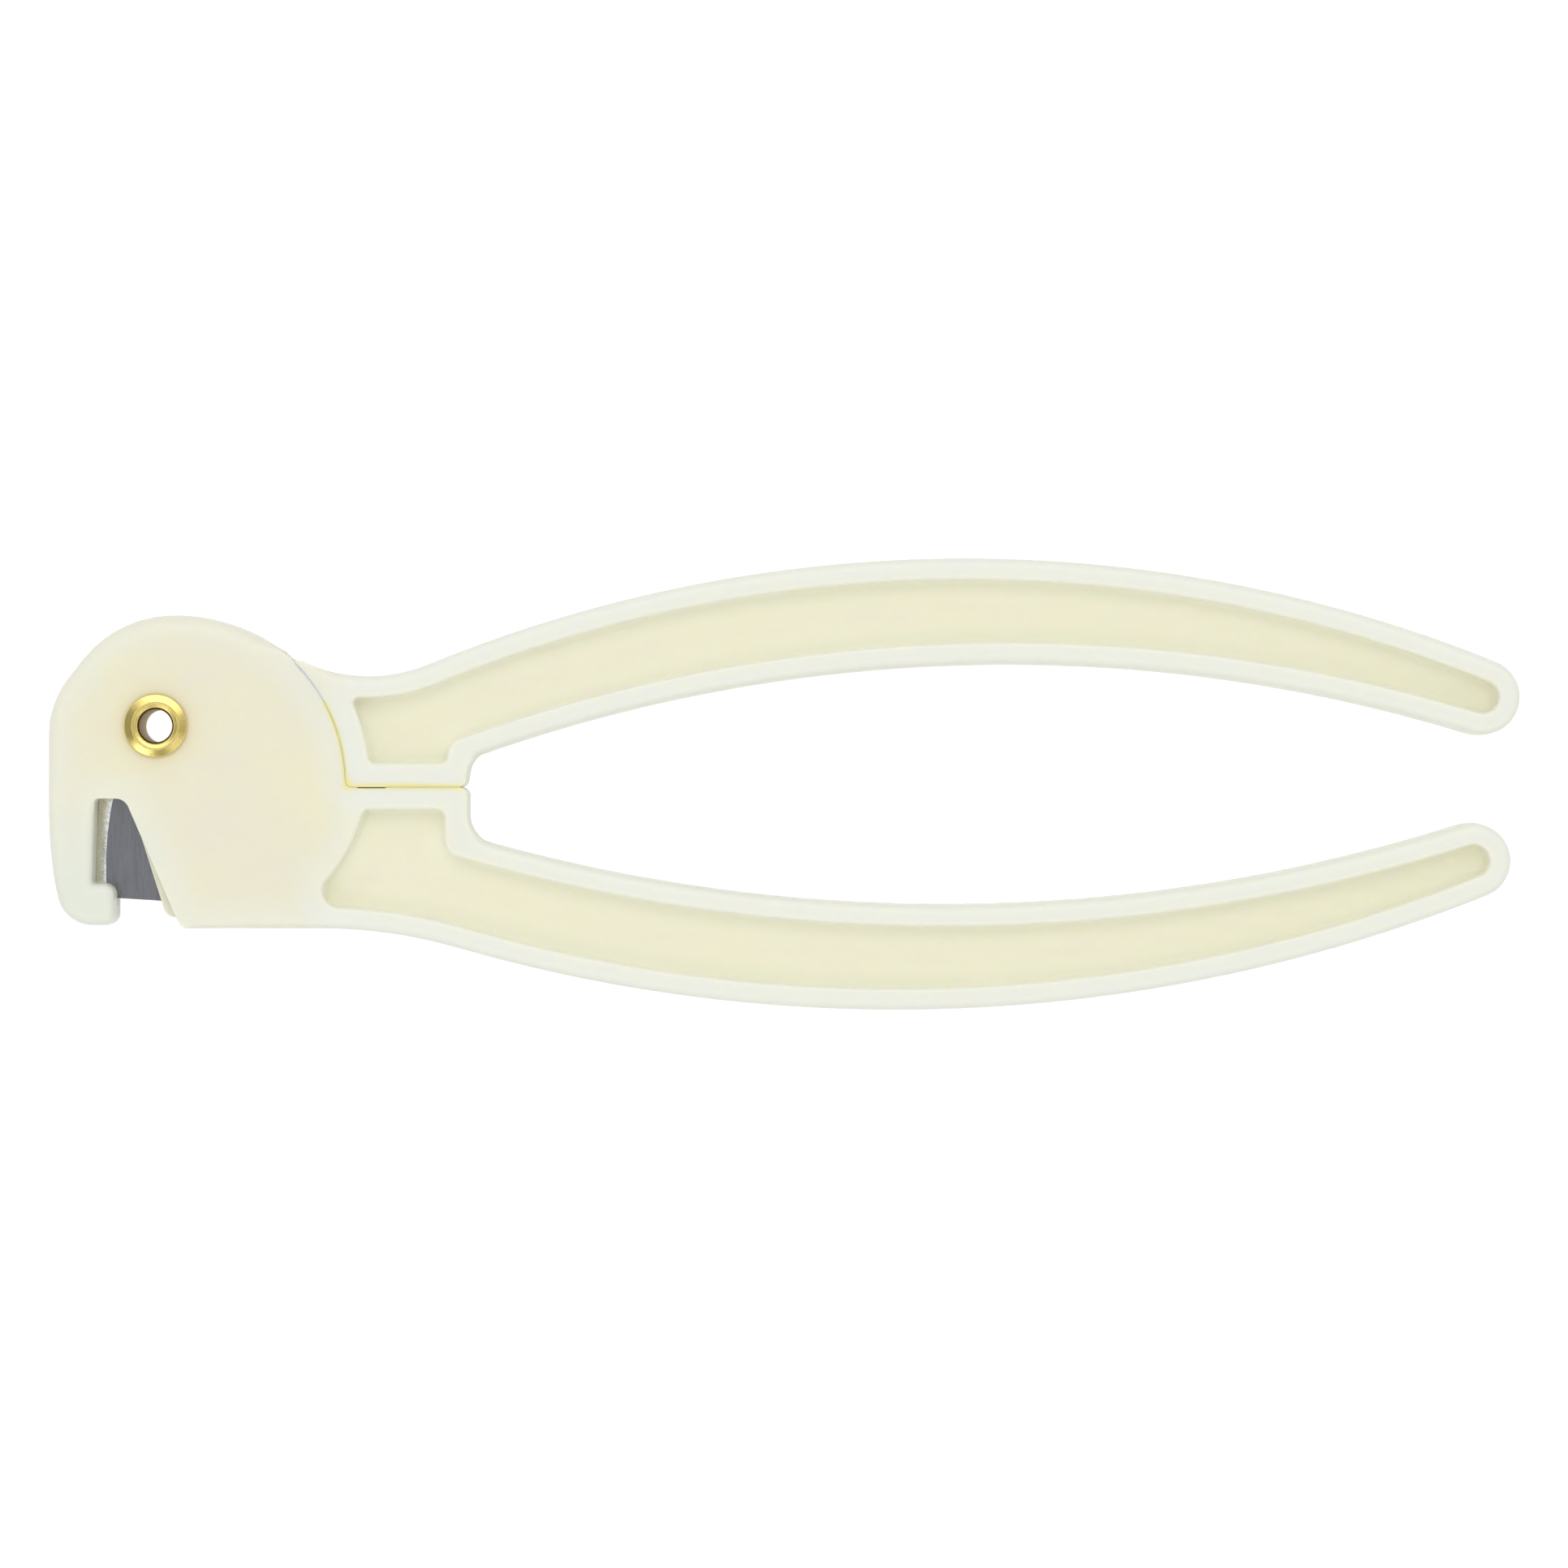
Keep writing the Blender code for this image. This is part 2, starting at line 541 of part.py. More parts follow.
def grown(sides, gap):
    """The same outline with every side moved out by a gap."""
    return [side._replace(path=shifted(side.path, -gap)) for side in sides]


def tongue_outline():
    """The layer of the upper handle that runs between the cheeks, rooted in its neck."""
    sink = TONGUE_PROUD / 2
    hollow = valley()
    out = hollow.centre / abs(hollow.centre)
    top = Arc(out * (NECK_TOP - sink - TONGUE_TOP_RADIUS), TONGUE_TOP_RADIUS, 1)
    edge, back = heading(TONGUE_EDGE_HEADING), heading(TONGUE_BACK_HEADING)
    low_corner = PIVOT + TONGUE_RADIUS * heading(TONGUE_LOW_AT)
    return [
        Side(Arc(PIVOT, TONGUE_RADIUS, 1), 0, 0, SHOULDER),
        Side(Arc(0, SHOULDER + TONGUE_ROOT, 1), 0, 0, SHOULDER * heading(ROOT_TO_VALLEY_AT)),
        Side(shifted(hollow, sink), 0, 0, hollow.centre),
        Side(top, 0, TONGUE_SHOULDER, 1j * HEAD_RADIUS),
        Side(Line(PIVOT - 1j * back * HUB_RADIUS, back), 0, 0, PIVOT - HUB_RADIUS),
        Side(Arc(PIVOT, HUB_RADIUS, 1), 0, 0, PIVOT - HUB_RADIUS),
        Side(Line(PIVOT - 1j * edge * HUB_RADIUS, edge), 0, TONGUE_CORNER, low_corner),
    ]


def tongue_slot_outline():
    """The room in the fork for the tongue, closed and wide open, and open along the top of the head."""
    back, edge = heading(TONGUE_BACK_HEADING + OPENING_ROOM), heading(TONGUE_EDGE_HEADING)
    hub = Arc(PIVOT, HUB_RADIUS + CLEARANCE, 1)
    core = Arc(PIVOT, SLOT_RADIUS, 1)
    hub_start, hub_end = PIVOT - 1j * back * hub.radius, PIVOT - 1j * edge * hub.radius
    low_corner = meet(core, Line(hub_end, edge), PIVOT + SLOT_RADIUS * heading(TONGUE_LOW_AT))
    stop = meet(core, Line(STOP_LEVEL, -1), HEAD_RADIUS)
    above = HEAD_RADIUS + BEYOND
    points = [hub_start - back * above] + along(hub, hub_start, hub_end) + along(core, low_corner, stop)
    return np.array(points + [stop + BEYOND * heading(SLOT_MOUTH_HEADING), above + 1j * above])


def blade_slot_outline():
    """The thinner room for the blade in the arm and in the hook, running into the tongue's."""
    blade_corner = meet(blade_sides()[5].path, blade_sides()[6].path, BLADE_END)
    hook_slot = Arc(PIVOT, abs(blade_corner - PIVOT) + CLEARANCE, 1)
    arm_wall = Line(-BLADE_REACH - OVERTRAVEL_ROOM - 1j * BLADE_TOP, -1j)
    mouth = Line(-HOOK_END + SLOT_PAST_HOOK, -1j)
    run = along(hook_slot, meet(arm_wall, hook_slot, BLADE_END), meet(hook_slot, mouth, BLADE_END))
    return np.array([arm_wall.point] + run + [PIVOT, PIVOT - HUB_RADIUS])


def rivet_profile():
    """One side of the hollow rivet, down its outside and back up its bore.

    Each flange rises out of the bore to a bead round the mouth, dips, and rolls over to its rim.
    """
    front, rear = THICKNESS, FLANGE_HEIGHT
    bead = (RIVET_RADIUS + RIVET_BORE) / 2 + FLANGE_BEAD
    low, middle, high = 0.64 * FLANGE_HEIGHT, 0.76 * FLANGE_HEIGHT, 0.91 * FLANGE_HEIGHT
    face = [((bead + RIVET_BORE) / 2, low), (bead, FLANGE_HEIGHT), (FLANGE_RADIUS - FLANGE_ROLL, middle),
            (FLANGE_RADIUS - FLANGE_ROLL / 2, high), (FLANGE_RADIUS - FLANGE_ROLL / 5, low)]
    outside = [(radius, front + height) for radius, height in face]
    outside += [(FLANGE_RADIUS, front + FLANGE_RIM), (FLANGE_RADIUS, front), (RIVET_RADIUS, front)]
    outside += [(RIVET_RADIUS, rear), (FLANGE_RADIUS, rear), (FLANGE_RADIUS, rear - FLANGE_RIM)]
    outside += [(radius, rear - height) for radius, height in reversed(face)]
    return outside + [(RIVET_BORE, rear), (RIVET_BORE, front)]


def make_anvil_handle():
    """The lower handle with its fork, in one moulding."""
    handle = moulded("anvil_handle", trace(lower_outline()))
    place(handle, tool_frame, parts)
    for side, face in ((1, "front"), (-1, "rear")):
        work(handle, recess_cutter(f"lower_recess_{face}", lower_recess(), side), "DIFFERENCE")
    slot = plate("tongue_slot", tongue_slot_outline(), MIDDLE - SLOT / 2, MIDDLE + SLOT / 2)
    work(handle, slot, "DIFFERENCE")
    slot = plate("blade_slot", blade_slot_outline(), MIDDLE - POCKET / 2, MIDDLE + POCKET / 2)
    work(handle, slot, "DIFFERENCE")
    hole = round_bar("fork_pivot_hole", PIVOT_HOLE, -BEYOND, THICKNESS + BEYOND, PIVOT)
    work(handle, hole, "DIFFERENCE")
    seat = round_bar("front_flange_seat", FLANGE_SEAT, THICKNESS - CLEARANCE, THICKNESS + BEYOND, PIVOT)
    work(handle, seat, "DIFFERENCE")
    seat = round_bar("rear_flange_seat", FLANGE_SEAT, -BEYOND, FLANGE_HEIGHT + CLEARANCE, PIVOT)
    work(handle, seat, "DIFFERENCE")
    finish(handle, "natural_plastic_lower", (0.83, 0.79, 0.60), 0.38, 0.0)


def make_blade_handle():
    """The upper handle with its tongue, in one moulding, pocketed for the blade."""
    handle = moulded("blade_handle", trace(upper_outline()), PIVOT)
    place(handle, pivot_axis, parts)
    for side, face in ((1, "front"), (-1, "rear")):
        recess = recess_cutter(f"upper_recess_{face}", upper_recess(), side)
        recess.location = (-PIVOT.real, -PIVOT.imag, 0)
        work(handle, recess, "DIFFERENCE")
    tongue = plate("tongue", trace(tongue_outline())[0], MIDDLE - TONGUE / 2, MIDDLE + TONGUE / 2, PIVOT)
    work(handle, tongue, "UNION")
    pocket = trace(grown(blade_sides(), CLEARANCE))[0]
    pocket = plate("blade_pocket", pocket, MIDDLE - POCKET / 2, MIDDLE + POCKET / 2, PIVOT)
    work(handle, pocket, "DIFFERENCE")
    hole = round_bar("tongue_pivot_hole", PIVOT_HOLE, 0, THICKNESS)
    work(handle, hole, "DIFFERENCE")
    finish(handle, "natural_plastic_upper", (0.84, 0.80, 0.61), 0.38, 0.0)


def make_cutting_blade():
    """The blade: a stamping whose left edge is ground from both faces."""
    sides = blade_sides()
    full = trace(sides)[0]
    cutting = sides[5].path
    ground = shifted(cutting, BLADE_GRIND)
    top, end = sides[4].path, sides[6].path
    on_edge = abs(abs(full - cutting.centre) - cutting.radius) < 0.01 * MM
    on_edge &= full.real < PIVOT.real
    first, last = meet(ground, top, cutting.centre - cutting.radius), meet(ground, end, BLADE_END)
    band = along(ground, first, last)
    share = np.linspace(0, 1, on_edge.sum())
    band = np.interp(share, np.linspace(0, 1, len(band)), np.array(band).real) \
        + 1j * np.interp(share, np.linspace(0, 1, len(band)), np.array(band).imag)
    face = full.copy()
    face[on_edge] = band
    sections = [(face, MIDDLE - BLADE_THICKNESS / 2), (full, MIDDLE - BLADE_LAND / 2),
                (full, MIDDLE + BLADE_LAND / 2), (face, MIDDLE + BLADE_THICKNESS / 2)]
    blade = loft("cutting_blade", sections, PIVOT)
    place(blade, pivot_axis, parts)
    work(blade, round_bar("blade_pivot_hole", PIVOT_HOLE, 0, THICKNESS), "DIFFERENCE")
    finish(blade, "blade_steel", (0.19, 0.19, 0.20), 0.38, 1.0)


def make_pivot_eyelet():
    """The hollow rivet: a thin brass barrel with a rolled flange on each face."""
    profile = rivet_profile()
    mesh = bpy.data.meshes.new("pivot_eyelet")
    count = len(profile)
    mesh.from_pydata([(radius, 0, height) for radius, height in profile],
                     [(number, (number + 1) % count) for number in range(count)], [])
    eyelet = bpy.data.objects.new("pivot_eyelet", mesh)
    place(eyelet, tool_frame, parts)
    eyelet.location = (PIVOT.real, PIVOT.imag, 0)
    turn = eyelet.modifiers.new("turn", "SCREW")
    turn.steps = turn.render_steps = RIVET_STEPS
    turn.use_merge_vertices = True
    turn.merge_threshold = 0.00001
    finish(eyelet, "brass", (0.70, 0.47, 0.16), 0.30, 1.0)


for old in list(bpy.data.objects):
    bpy.data.objects.remove(old)
parts = bpy.data.collections.new("umbilical_cord_cutter")
cutters = bpy.data.collections.new("cutters")
bpy.context.scene.collection.children.link(parts)
bpy.context.scene.collection.children.link(cutters)

reach = np.concatenate([trace(lower_outline())[0], trace(upper_outline())[0]])
tool_frame = bpy.data.objects.new("tool_frame", None)
tool_frame.location = (-(reach.real.min() + reach.real.max()) / 2, -(reach.imag.min() + reach.imag.max()) / 2, 0)
parts.objects.link(tool_frame)
pivot_axis = bpy.data.objects.new("pivot_axis", None)
pivot_axis.parent = tool_frame
pivot_axis.location = (PIVOT.real, PIVOT.imag, 0)
parts.objects.link(pivot_axis)

make_anvil_handle()
make_blade_handle()
make_cutting_blade()
make_pivot_eyelet()
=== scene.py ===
"""Looks of an umbilical cord cutter that lies closed on its rear face, seen from straight above.

The tool is drawn in its own plane. A place in that plane is a complex number in millimetres: the real
axis runs along the tool towards the grips, the imaginary axis towards the upper grip, and zero is the
centre of the head's round. Heights are millimetres above the table.
"""
import json
from collections import namedtuple

import bmesh
import bpy
import numpy as np
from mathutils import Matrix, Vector


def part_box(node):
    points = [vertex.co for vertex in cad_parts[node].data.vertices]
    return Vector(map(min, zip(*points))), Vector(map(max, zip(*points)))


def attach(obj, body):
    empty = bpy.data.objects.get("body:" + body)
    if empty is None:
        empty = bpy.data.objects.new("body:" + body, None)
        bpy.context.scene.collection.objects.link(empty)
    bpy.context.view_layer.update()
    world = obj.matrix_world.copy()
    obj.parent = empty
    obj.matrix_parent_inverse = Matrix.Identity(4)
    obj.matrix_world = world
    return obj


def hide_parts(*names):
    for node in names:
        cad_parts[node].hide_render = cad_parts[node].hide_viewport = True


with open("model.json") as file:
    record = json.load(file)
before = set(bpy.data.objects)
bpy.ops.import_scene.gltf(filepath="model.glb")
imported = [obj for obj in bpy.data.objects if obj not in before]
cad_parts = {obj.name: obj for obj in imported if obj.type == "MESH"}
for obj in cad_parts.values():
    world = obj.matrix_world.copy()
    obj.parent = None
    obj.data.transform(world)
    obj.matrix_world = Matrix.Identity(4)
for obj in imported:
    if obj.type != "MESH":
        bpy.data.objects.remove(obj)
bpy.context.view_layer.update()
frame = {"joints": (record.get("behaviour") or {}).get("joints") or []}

# The lower handle is one injection moulding in natural cream plastic, satin and slightly translucent.
# Its grip is a bow of two ribs over a thin web. Its head is a fork of two cheeks, slotted for the tongue
# of the upper handle, with a notch that takes the cord clamp and a hook that holds the clamp there.
MM = 0.001
PIVOT = -2.15 + 6.3j
HEAD_AT = complex(*frame["joints"][0]["pos_m"][:2]) / MM - PIVOT
THICKNESS = (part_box("anvil_handle")[1].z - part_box("anvil_handle")[0].z) / MM
MIDDLE = THICKNESS / 2
DRAFT = np.tan(np.radians(0.7))     # the walls lean in on both sides of the parting line
PARTING, RIDGE = 0.05, 0.02         # how far in the wall and the mould's fine ridge lie at that line
RIDGE_HALF, RIDGE_FOOT = 0.06, 0.14  # the ridge's half height, and where its slopes meet the wall
SMALL_EDGE, FULL_EDGE, FLATNESS = 0.6, 0.85, 0.3    # a small edge is this flat and has no draft
WEB = 3.0
RIB_WIDTH, RIB_EDGE, RIB_FLARE, FLOOR_FILLET = 2.45, 1.0, 0.45, 0.55
HEAD_RADIUS, HEAD_EDGE, HEAD_LEFT, HEAD_BOTTOM = 18.4, 1.65, 14.0, 15.78
BROW_OUT, BROW_HEADING, ARM_BOW = 16.45, -128, 50.0     # the slanted flat and the bowed arm on the left
HOOK_TOP, HOOK_BOTTOM, HOOK_END, HOOK_EDGE = 10.75, 15.42, 6.65, 1.0
NOTCH_TOP, NOTCH_WALL, JAW_TOP = 1.6, 9.0, -5.0 - 2.8j
STOP_END, STOP_LINE, STOP_GAP = 31.6, -0.36j, 0.01
LOWER_STOP = STOP_LINE - 0.5j * STOP_GAP
NECK_TIP = 47                       # degrees round the head to where the upper handle's neck ends
MATING_EDGE, SHOULDER_EDGE, TIP_EDGE = 0.18, 0.15, 0.04
LOWER_GRIP_END = 4.145              # the radius of the grip's round end
TONGUE, TONGUE_RADIUS, TONGUE_HUB, CLEARANCE = 3.8, 20.9, 5.4, 0.3
TONGUE_EDGE, TONGUE_BACK = -72.4, -102      # headings in degrees of its two straight sides
OPENING = 28                        # degrees by which the tongue can turn back in its slot
RIVET_RADIUS, FLANGE_RADIUS, FLANGE_HEIGHT, HOLE_GAP, SEAT_GAP = 2.1, 3.43, 0.55, 0.06, 0.1
STEP, CLOSE_STEP = 1.6, 0.6         # the longest step along an outline, and that along the mating rounds
PAST = 10                           # how far a cut reaches past the plastic

Line = namedtuple("Line", "point heading")
Arc = namedtuple("Arc", "centre radius turn")
Side = namedtuple("Side", "path edge corner near")


def heading(degrees):
    """A direction in the plane: the complex number of length one at that angle."""
    return np.exp(1j * np.radians(degrees))


# Where the two handles meet: round the head from the neck's tip to the stop faces and along those, and back
SEAM = np.concatenate([HEAD_RADIUS * heading(np.arange(NECK_TIP, -1, -1)),
                       np.array([STOP_END, HEAD_RADIUS]) + STOP_LINE,
                       HEAD_RADIUS * heading(np.arange(0, NECK_TIP))])


def crescent(crown, radius, turn):
    """The arc of a grip through its crown, with its centre straight below or above the crown."""
    return Arc(crown - 1j * np.copysign(radius, crown.imag), radius, turn)


def shifted(path, gap):
    """The same line or arc moved to its left, which is into the material."""
    if isinstance(path, Line):
        return Line(path.point + 1j * path.heading * gap, path.heading)
    return Arc(path.centre, path.radius - path.turn * gap, path.turn)


def foot_on(path, point):
    """The nearest place on a line or arc."""
    if isinstance(path, Line):
        return path.point + path.heading * (np.conj(path.heading) * (point - path.point)).real
    return path.centre + (point - path.centre) / abs(point - path.centre) * path.radius


def way_at(path, point):
    """The direction in which a line or arc runs: an arc's is its radius turned by a right angle."""
    if isinstance(path, Line):
        return path.heading
    return 1j * path.turn * (point - path.centre) / abs(point - path.centre)


def meet(a, b, near):
    """The crossing of two lines or arcs that lies nearest to a place."""
    if isinstance(a, Line) and isinstance(b, Line):
        reach = (np.conj(b.point - a.point) * b.heading).imag / (np.conj(a.heading) * b.heading).imag
        return a.point + a.heading * reach
    if isinstance(a, Line):
        a, b = b, a
    if isinstance(b, Line):
        foot = foot_on(b, a.centre)
        chord = b.heading * np.sqrt(max(a.radius ** 2 - abs(foot - a.centre) ** 2, 0))
    else:
        span = abs(b.centre - a.centre)
        axis = (b.centre - a.centre) / span
        reach = (span ** 2 + a.radius ** 2 - b.radius ** 2) / (2 * span)
        foot = a.centre + axis * reach
        chord = 1j * axis * np.sqrt(max(a.radius ** 2 - reach ** 2, 0))
    return min(foot + chord, foot - chord, key=lambda crossing: abs(crossing - near))


def corner_arc(a, b, radius, near):
    """The arc that rounds the corner from a to b, with the places where it starts and ends."""
    tip = meet(a, b, near)
    turn = np.copysign(1, (np.conj(way_at(a, tip)) * way_at(b, tip)).imag)
    centre = meet(shifted(a, turn * radius), shifted(b, turn * radius), tip)
    return Arc(centre, radius, turn), foot_on(a, centre), foot_on(b, centre)


def along(path, start, stop, step=STEP):
    """Places on a line or arc from start to stop, at most one step in mm and 7 degrees apart."""
    if isinstance(path, Line):
        return start + (stop - start) * np.linspace(0, 1, int(abs(stop - start) / step) + 2)
    angle = np.angle((stop - path.centre) / (start - path.centre)) * path.turn
    angle = angle if angle > -0.001 else angle + 2 * np.pi
    steps = int(max(angle / np.radians(7), angle * path.radius / step)) + 1
    turned = path.turn * angle * np.linspace(0, 1, steps + 1)
    return path.centre + (start - path.centre) * np.exp(1j * turned)


def trace(sides):
    """Places round an outline, counterclockwise, the direction into the material, and the edge's rounding.

    The direction is the path's own, turned left. A side's edge may run from one rounding to another. Round
    an outer corner it stays 0.13 mm under the corner's radius, which leaves room for the draft. The head's
    round and the shoulder that lies against it get closer places, so that the seam stays even.
    """
    corners = [corner_arc(side.path, after.path, side.corner, side.near)
               for side, after in zip(sides, sides[1:] + sides[:1])]
    runs = []
    for number, side in enumerate(sides):
        bend, leave, arrive = corners[number]
        first, last = np.broadcast_to(side.edge, 2)
        mating = isinstance(side.path, Arc) and abs(side.path.radius - HEAD_RADIUS) < 0.1
        run = along(side.path, corners[number - 1][2], leave, CLOSE_STEP if mating else STEP)
        runs.append((run, 1j * way_at(side.path, run) + 0 * run, np.linspace(first, last, len(run))))
        if side.corner:
            run = along(bend, leave, arrive)
            after = np.broadcast_to(sides[(number + 1) % len(sides)].edge, 2)[0]
            limit = side.corner - 0.13 if bend.turn > 0 else max(last, after)
            edge = np.minimum(np.linspace(last, after, len(run)), limit)
            runs.append((run, 1j * way_at(bend, run), edge))
    points, into, edges = (np.concatenate(column) for column in zip(*runs))
    kept = abs(points - np.roll(points, 1)) > 0.01
    return points[kept], into[kept], edges[kept]


def eased(points, into, edges, growth=0.35, most=0.3):
    """Limit how fast a rounding grows along the outline, and what share of the wall behind it takes."""
    spans = np.roll(points, -1) - points
    length = np.concatenate([[0], np.cumsum(abs(spans))])
    apart = abs(length[:-1, None] - length[None, :-1])
    apart = np.minimum(apart, length[-1] - apart)
    turn = (np.conj(into)[:, None] * spans[None, :]).imag
    turn = np.where(abs(turn) < 1e-9, 1e-9, turn)
    offsets = points[None, :] - points[:, None]
    reach = (np.conj(offsets) * spans[None, :]).imag / turn
    share = (np.conj(offsets) * into[:, None]).imag / turn
    wall = np.where((share >= 0) & (share <= 1) & (reach > 0.01), reach, 1000).min(axis=1)
    edges = (np.minimum(edges, most * wall)[None, :] + growth * apart).min(axis=1)
    return points, into, edges


def skin(name, places, heights):
    """A closed solid whose surface runs through rings of places and heights, with a flat face at each end.

    Each point is a ring's place, moved to where the head's round lies, with its height over the table.
    """
    rings, count = places.shape
    heights = np.broadcast_to(heights, places.shape)
    spots = (places + HEAD_AT) * MM
    index = np.arange(rings * count).reshape(rings, count)
    after = np.roll(index, -1, axis=1)
    quads = np.stack([index[:-1], after[:-1], after[1:], index[1:]], axis=-1).reshape(-1, 4)
    mesh = bpy.data.meshes.new(name)
    mesh.from_pydata(np.stack([spots.real, spots.imag, heights * MM], axis=-1).reshape(-1, 3).tolist(), [],
                     quads.tolist() + [index[0, ::-1].tolist(), index[-1].tolist()])
    piece = bpy.data.objects.new(name, mesh)
    bpy.context.scene.collection.objects.link(piece)
    return piece


def moulded(name, outline):
    """The outline carried up and down by one profile: parting ridge, drafted wall, quarter-round edge.

    Faces that lie against another piece have the small roundings, which are flatter than a quarter-round,
    and neither draft nor ridge.
    """
    points, into, edges = outline
    free = np.clip((edges - SMALL_EDGE) / (FULL_EDGE - SMALL_EDGE), 0, 1)
    turn = np.linspace(0, np.pi / 2, 8)[:, None]
    rise = MIDDLE - edges * (FLATNESS + (1 - FLATNESS) * free) * (1 - np.sin(turn))
    inset = free * (PARTING + rise * DRAFT) + edges * (1 - np.cos(turn))
    rise = np.concatenate([np.array([0.0, RIDGE_HALF, RIDGE_FOOT])[:, None] + 0 * edges, rise])
    inset = np.concatenate([np.array([RIDGE, RIDGE, PARTING])[:, None] * free, inset])
    rise = np.concatenate([-rise[:0:-1], rise])
    inset = np.concatenate([inset[:0:-1], inset])
    return skin(name, points + into * inset, MIDDLE + rise)


def recess(name, outline, side):
    """What is sunk between the ribs: a quarter-round fillet off the floor, a drafted wall, a flared edge.

    The side is 1 for the front and -1 for the rear, and the cut reaches well past that face.
    """
    points, into, _ = outline
    turn = np.linspace(0, np.pi / 2, 7)[:, None]
    depth = np.concatenate([WEB / 2 + FLOOR_FILLET * (1 - np.cos(turn)),
                            MIDDLE - RIB_FLARE * (1 - np.sin(turn)), [[MIDDLE + PAST]]])
    inset = np.concatenate([FLOOR_FILLET * (1 - np.sin(turn)),
                            -RIB_FLARE * (1 - np.cos(turn)), [[-RIB_FLARE]]])
    inset = inset - np.minimum(depth, MIDDLE) * DRAFT
    order = slice(None, None, side)
    return skin(name, (points + into * inset)[order], (MIDDLE + side * depth)[order])


def slab(name, points, low, high, into=0, edge=0.0):
    """A flat layer between two heights, its edges rounded by a quarter turn where an edge is given."""
    turn = np.linspace(0, np.pi / 2, 4 if edge else 1)[:, None]
    up = high - edge * (1 - np.sin(turn))
    inset = edge * (1 - np.cos(turn))
    return skin(name, points + into * np.concatenate([inset[::-1], inset]),
                np.concatenate([low + high - up[::-1], up]))


def layer(name, points, height, into=0, edge=0.0):
    """A slab of a given height that lies evenly about the middle of the plastic."""
    return slab(name, points, MIDDLE - height / 2, MIDDLE + height / 2, into, edge)


def bar(name, radius, low, high):
    """A round bar on the pivot's axis: one circle carried from one height to the other."""
    circle = PIVOT + radius * heading(np.arange(0, 360, 4))
    return skin(name, np.stack([circle, circle]), np.array([[low], [high]]))


def worked(piece, *steps):
    """The piece after tools are cut out of it or joined on, as one mesh. The tools are used up."""
    for operation, tool in steps:
        change = piece.modifiers.new(tool.name, "BOOLEAN")
        change.operation, change.object = operation, tool
    graph = bpy.context.evaluated_depsgraph_get()
    mesh = bpy.data.meshes.new_from_object(piece.evaluated_get(graph))
    piece.modifiers.clear()
    piece.data = mesh
    for _, tool in steps:
        bpy.data.objects.remove(tool)
    return piece


def quilt(piece, pitch=1.3):
    """Cross the flat faces with cuts both ways, so that they hold enough points for the colour to vary."""
    shape = bmesh.new()
    shape.from_mesh(piece.data)
    bmesh.ops.remove_doubles(shape, verts=shape.verts, dist=0.001 * MM)
    faces = [face for face in shape.faces
             if abs(face.normal.z) > 0.9999 and face.calc_area() > (pitch * MM) ** 2]
    geometry = faces + list({edge for face in faces for edge in face.edges})
    geometry += list({vertex for face in faces for vertex in face.verts})
    spots = np.array([vertex.co for vertex in shape.verts])
    for number, axis in enumerate((Vector((1, 0, 0)), Vector((0, 1, 0)))):
        low, high = spots[:, number].min(), spots[:, number].max()
        for place in np.arange(low + pitch * MM, high, pitch * MM):
            geometry = bmesh.ops.bisect_plane(shape, geom=geometry, dist=1e-7, plane_co=axis * place,
                                              plane_no=axis)["geom"]
    shape.to_mesh(piece.data)
    shape.free()


def gap_to(points, outline):
    """The distance from places in the plane to a closed outline: the least over its straight pieces."""
    spans = np.roll(outline, -1) - outline

    def least(some):
        offsets = some[:, None] - outline
        share = np.clip((offsets * np.conj(spans)).real / abs(spans) ** 2, 0, 1)
        return abs(offsets - share * spans).min(axis=1)

    return np.concatenate([least(some) for some in np.array_split(points, len(points) // 1500 + 1)])


def fade(values, near, far):
    """One up to near, zero from far on, and a smooth cubic between."""
    share = np.clip((far - values) / (far - near), 0, 1)
    return share ** 2 * (3 - 2 * share)


def stain(piece, rim_outline, recess_outline):
    """Store at each point the masks for the plastic's painted light: how thin, how sheltered and how near the
    seam it is.

    Thin: half from the nearness of the outline and half from that of the recess, both over 4 mm and only on
    the raised parts, so a rib counts in full, the head's border by half and a web not at all. It whitens the
    plastic as painted light for light that shines through thin plastic. Sheltered: the webs, most at the foot
    of their ribs, where a paler colour is painted light that lifts the shade of the recess. Seam: the
    millimetres to where the two handles meet, with more for the depth in the wall, and three more towards the
    neck's tip, where the handles look like one. Near the seam a yellow is painted light trapped between the
    handles.
    """
    spots = np.empty(len(piece.data.vertices) * 3)
    piece.data.vertices.foreach_get("co", spots)
    spots = spots.reshape(-1, 3) / MM
    places = spots[:, 0] + 1j * spots[:, 1] - HEAD_AT
    to_recess = gap_to(places, recess_outline)
    depth = MIDDLE - abs(spots[:, 2] - MIDDLE)
    raised = fade(depth, 0.9, MIDDLE - WEB / 2 - 0.1)
    raised = np.where(to_recess > 2 * RIB_WIDTH, 1, raised)
    painted_thin_light = 0.5 * fade(gap_to(places, rim_outline), 1.0, 4.2) + 0.5 * fade(to_recess, 1.6, 3.6)
    painted_recess_light = 0.4 + 0.6 * fade(to_recess, 0.3, 3.5)
    past_seam = 1 - fade(np.angle(places, deg=True), 28, 40)
    seam = np.minimum(gap_to(places, SEAM), 3) + 0.6 * depth + 3 * past_seam
    values = {"painted_thin_light": painted_thin_light * raised, "painted_recess_light": painted_recess_light * (1 - raised), "seam": seam}
    for name, value in values.items():
        piece.data.attributes.new(name, "FLOAT", "POINT").data.foreach_set("value", value)


def smooth(piece, degrees=38):
    """Shade the curved facets as one surface, and keep the flats flat up to their borders."""
    piece.data.shade_smooth()
    piece.data.set_sharp_from_angle(angle=np.radians(degrees))
    weigh = piece.modifiers.new("flats", "WEIGHTED_NORMAL")
    weigh.keep_sharp = True


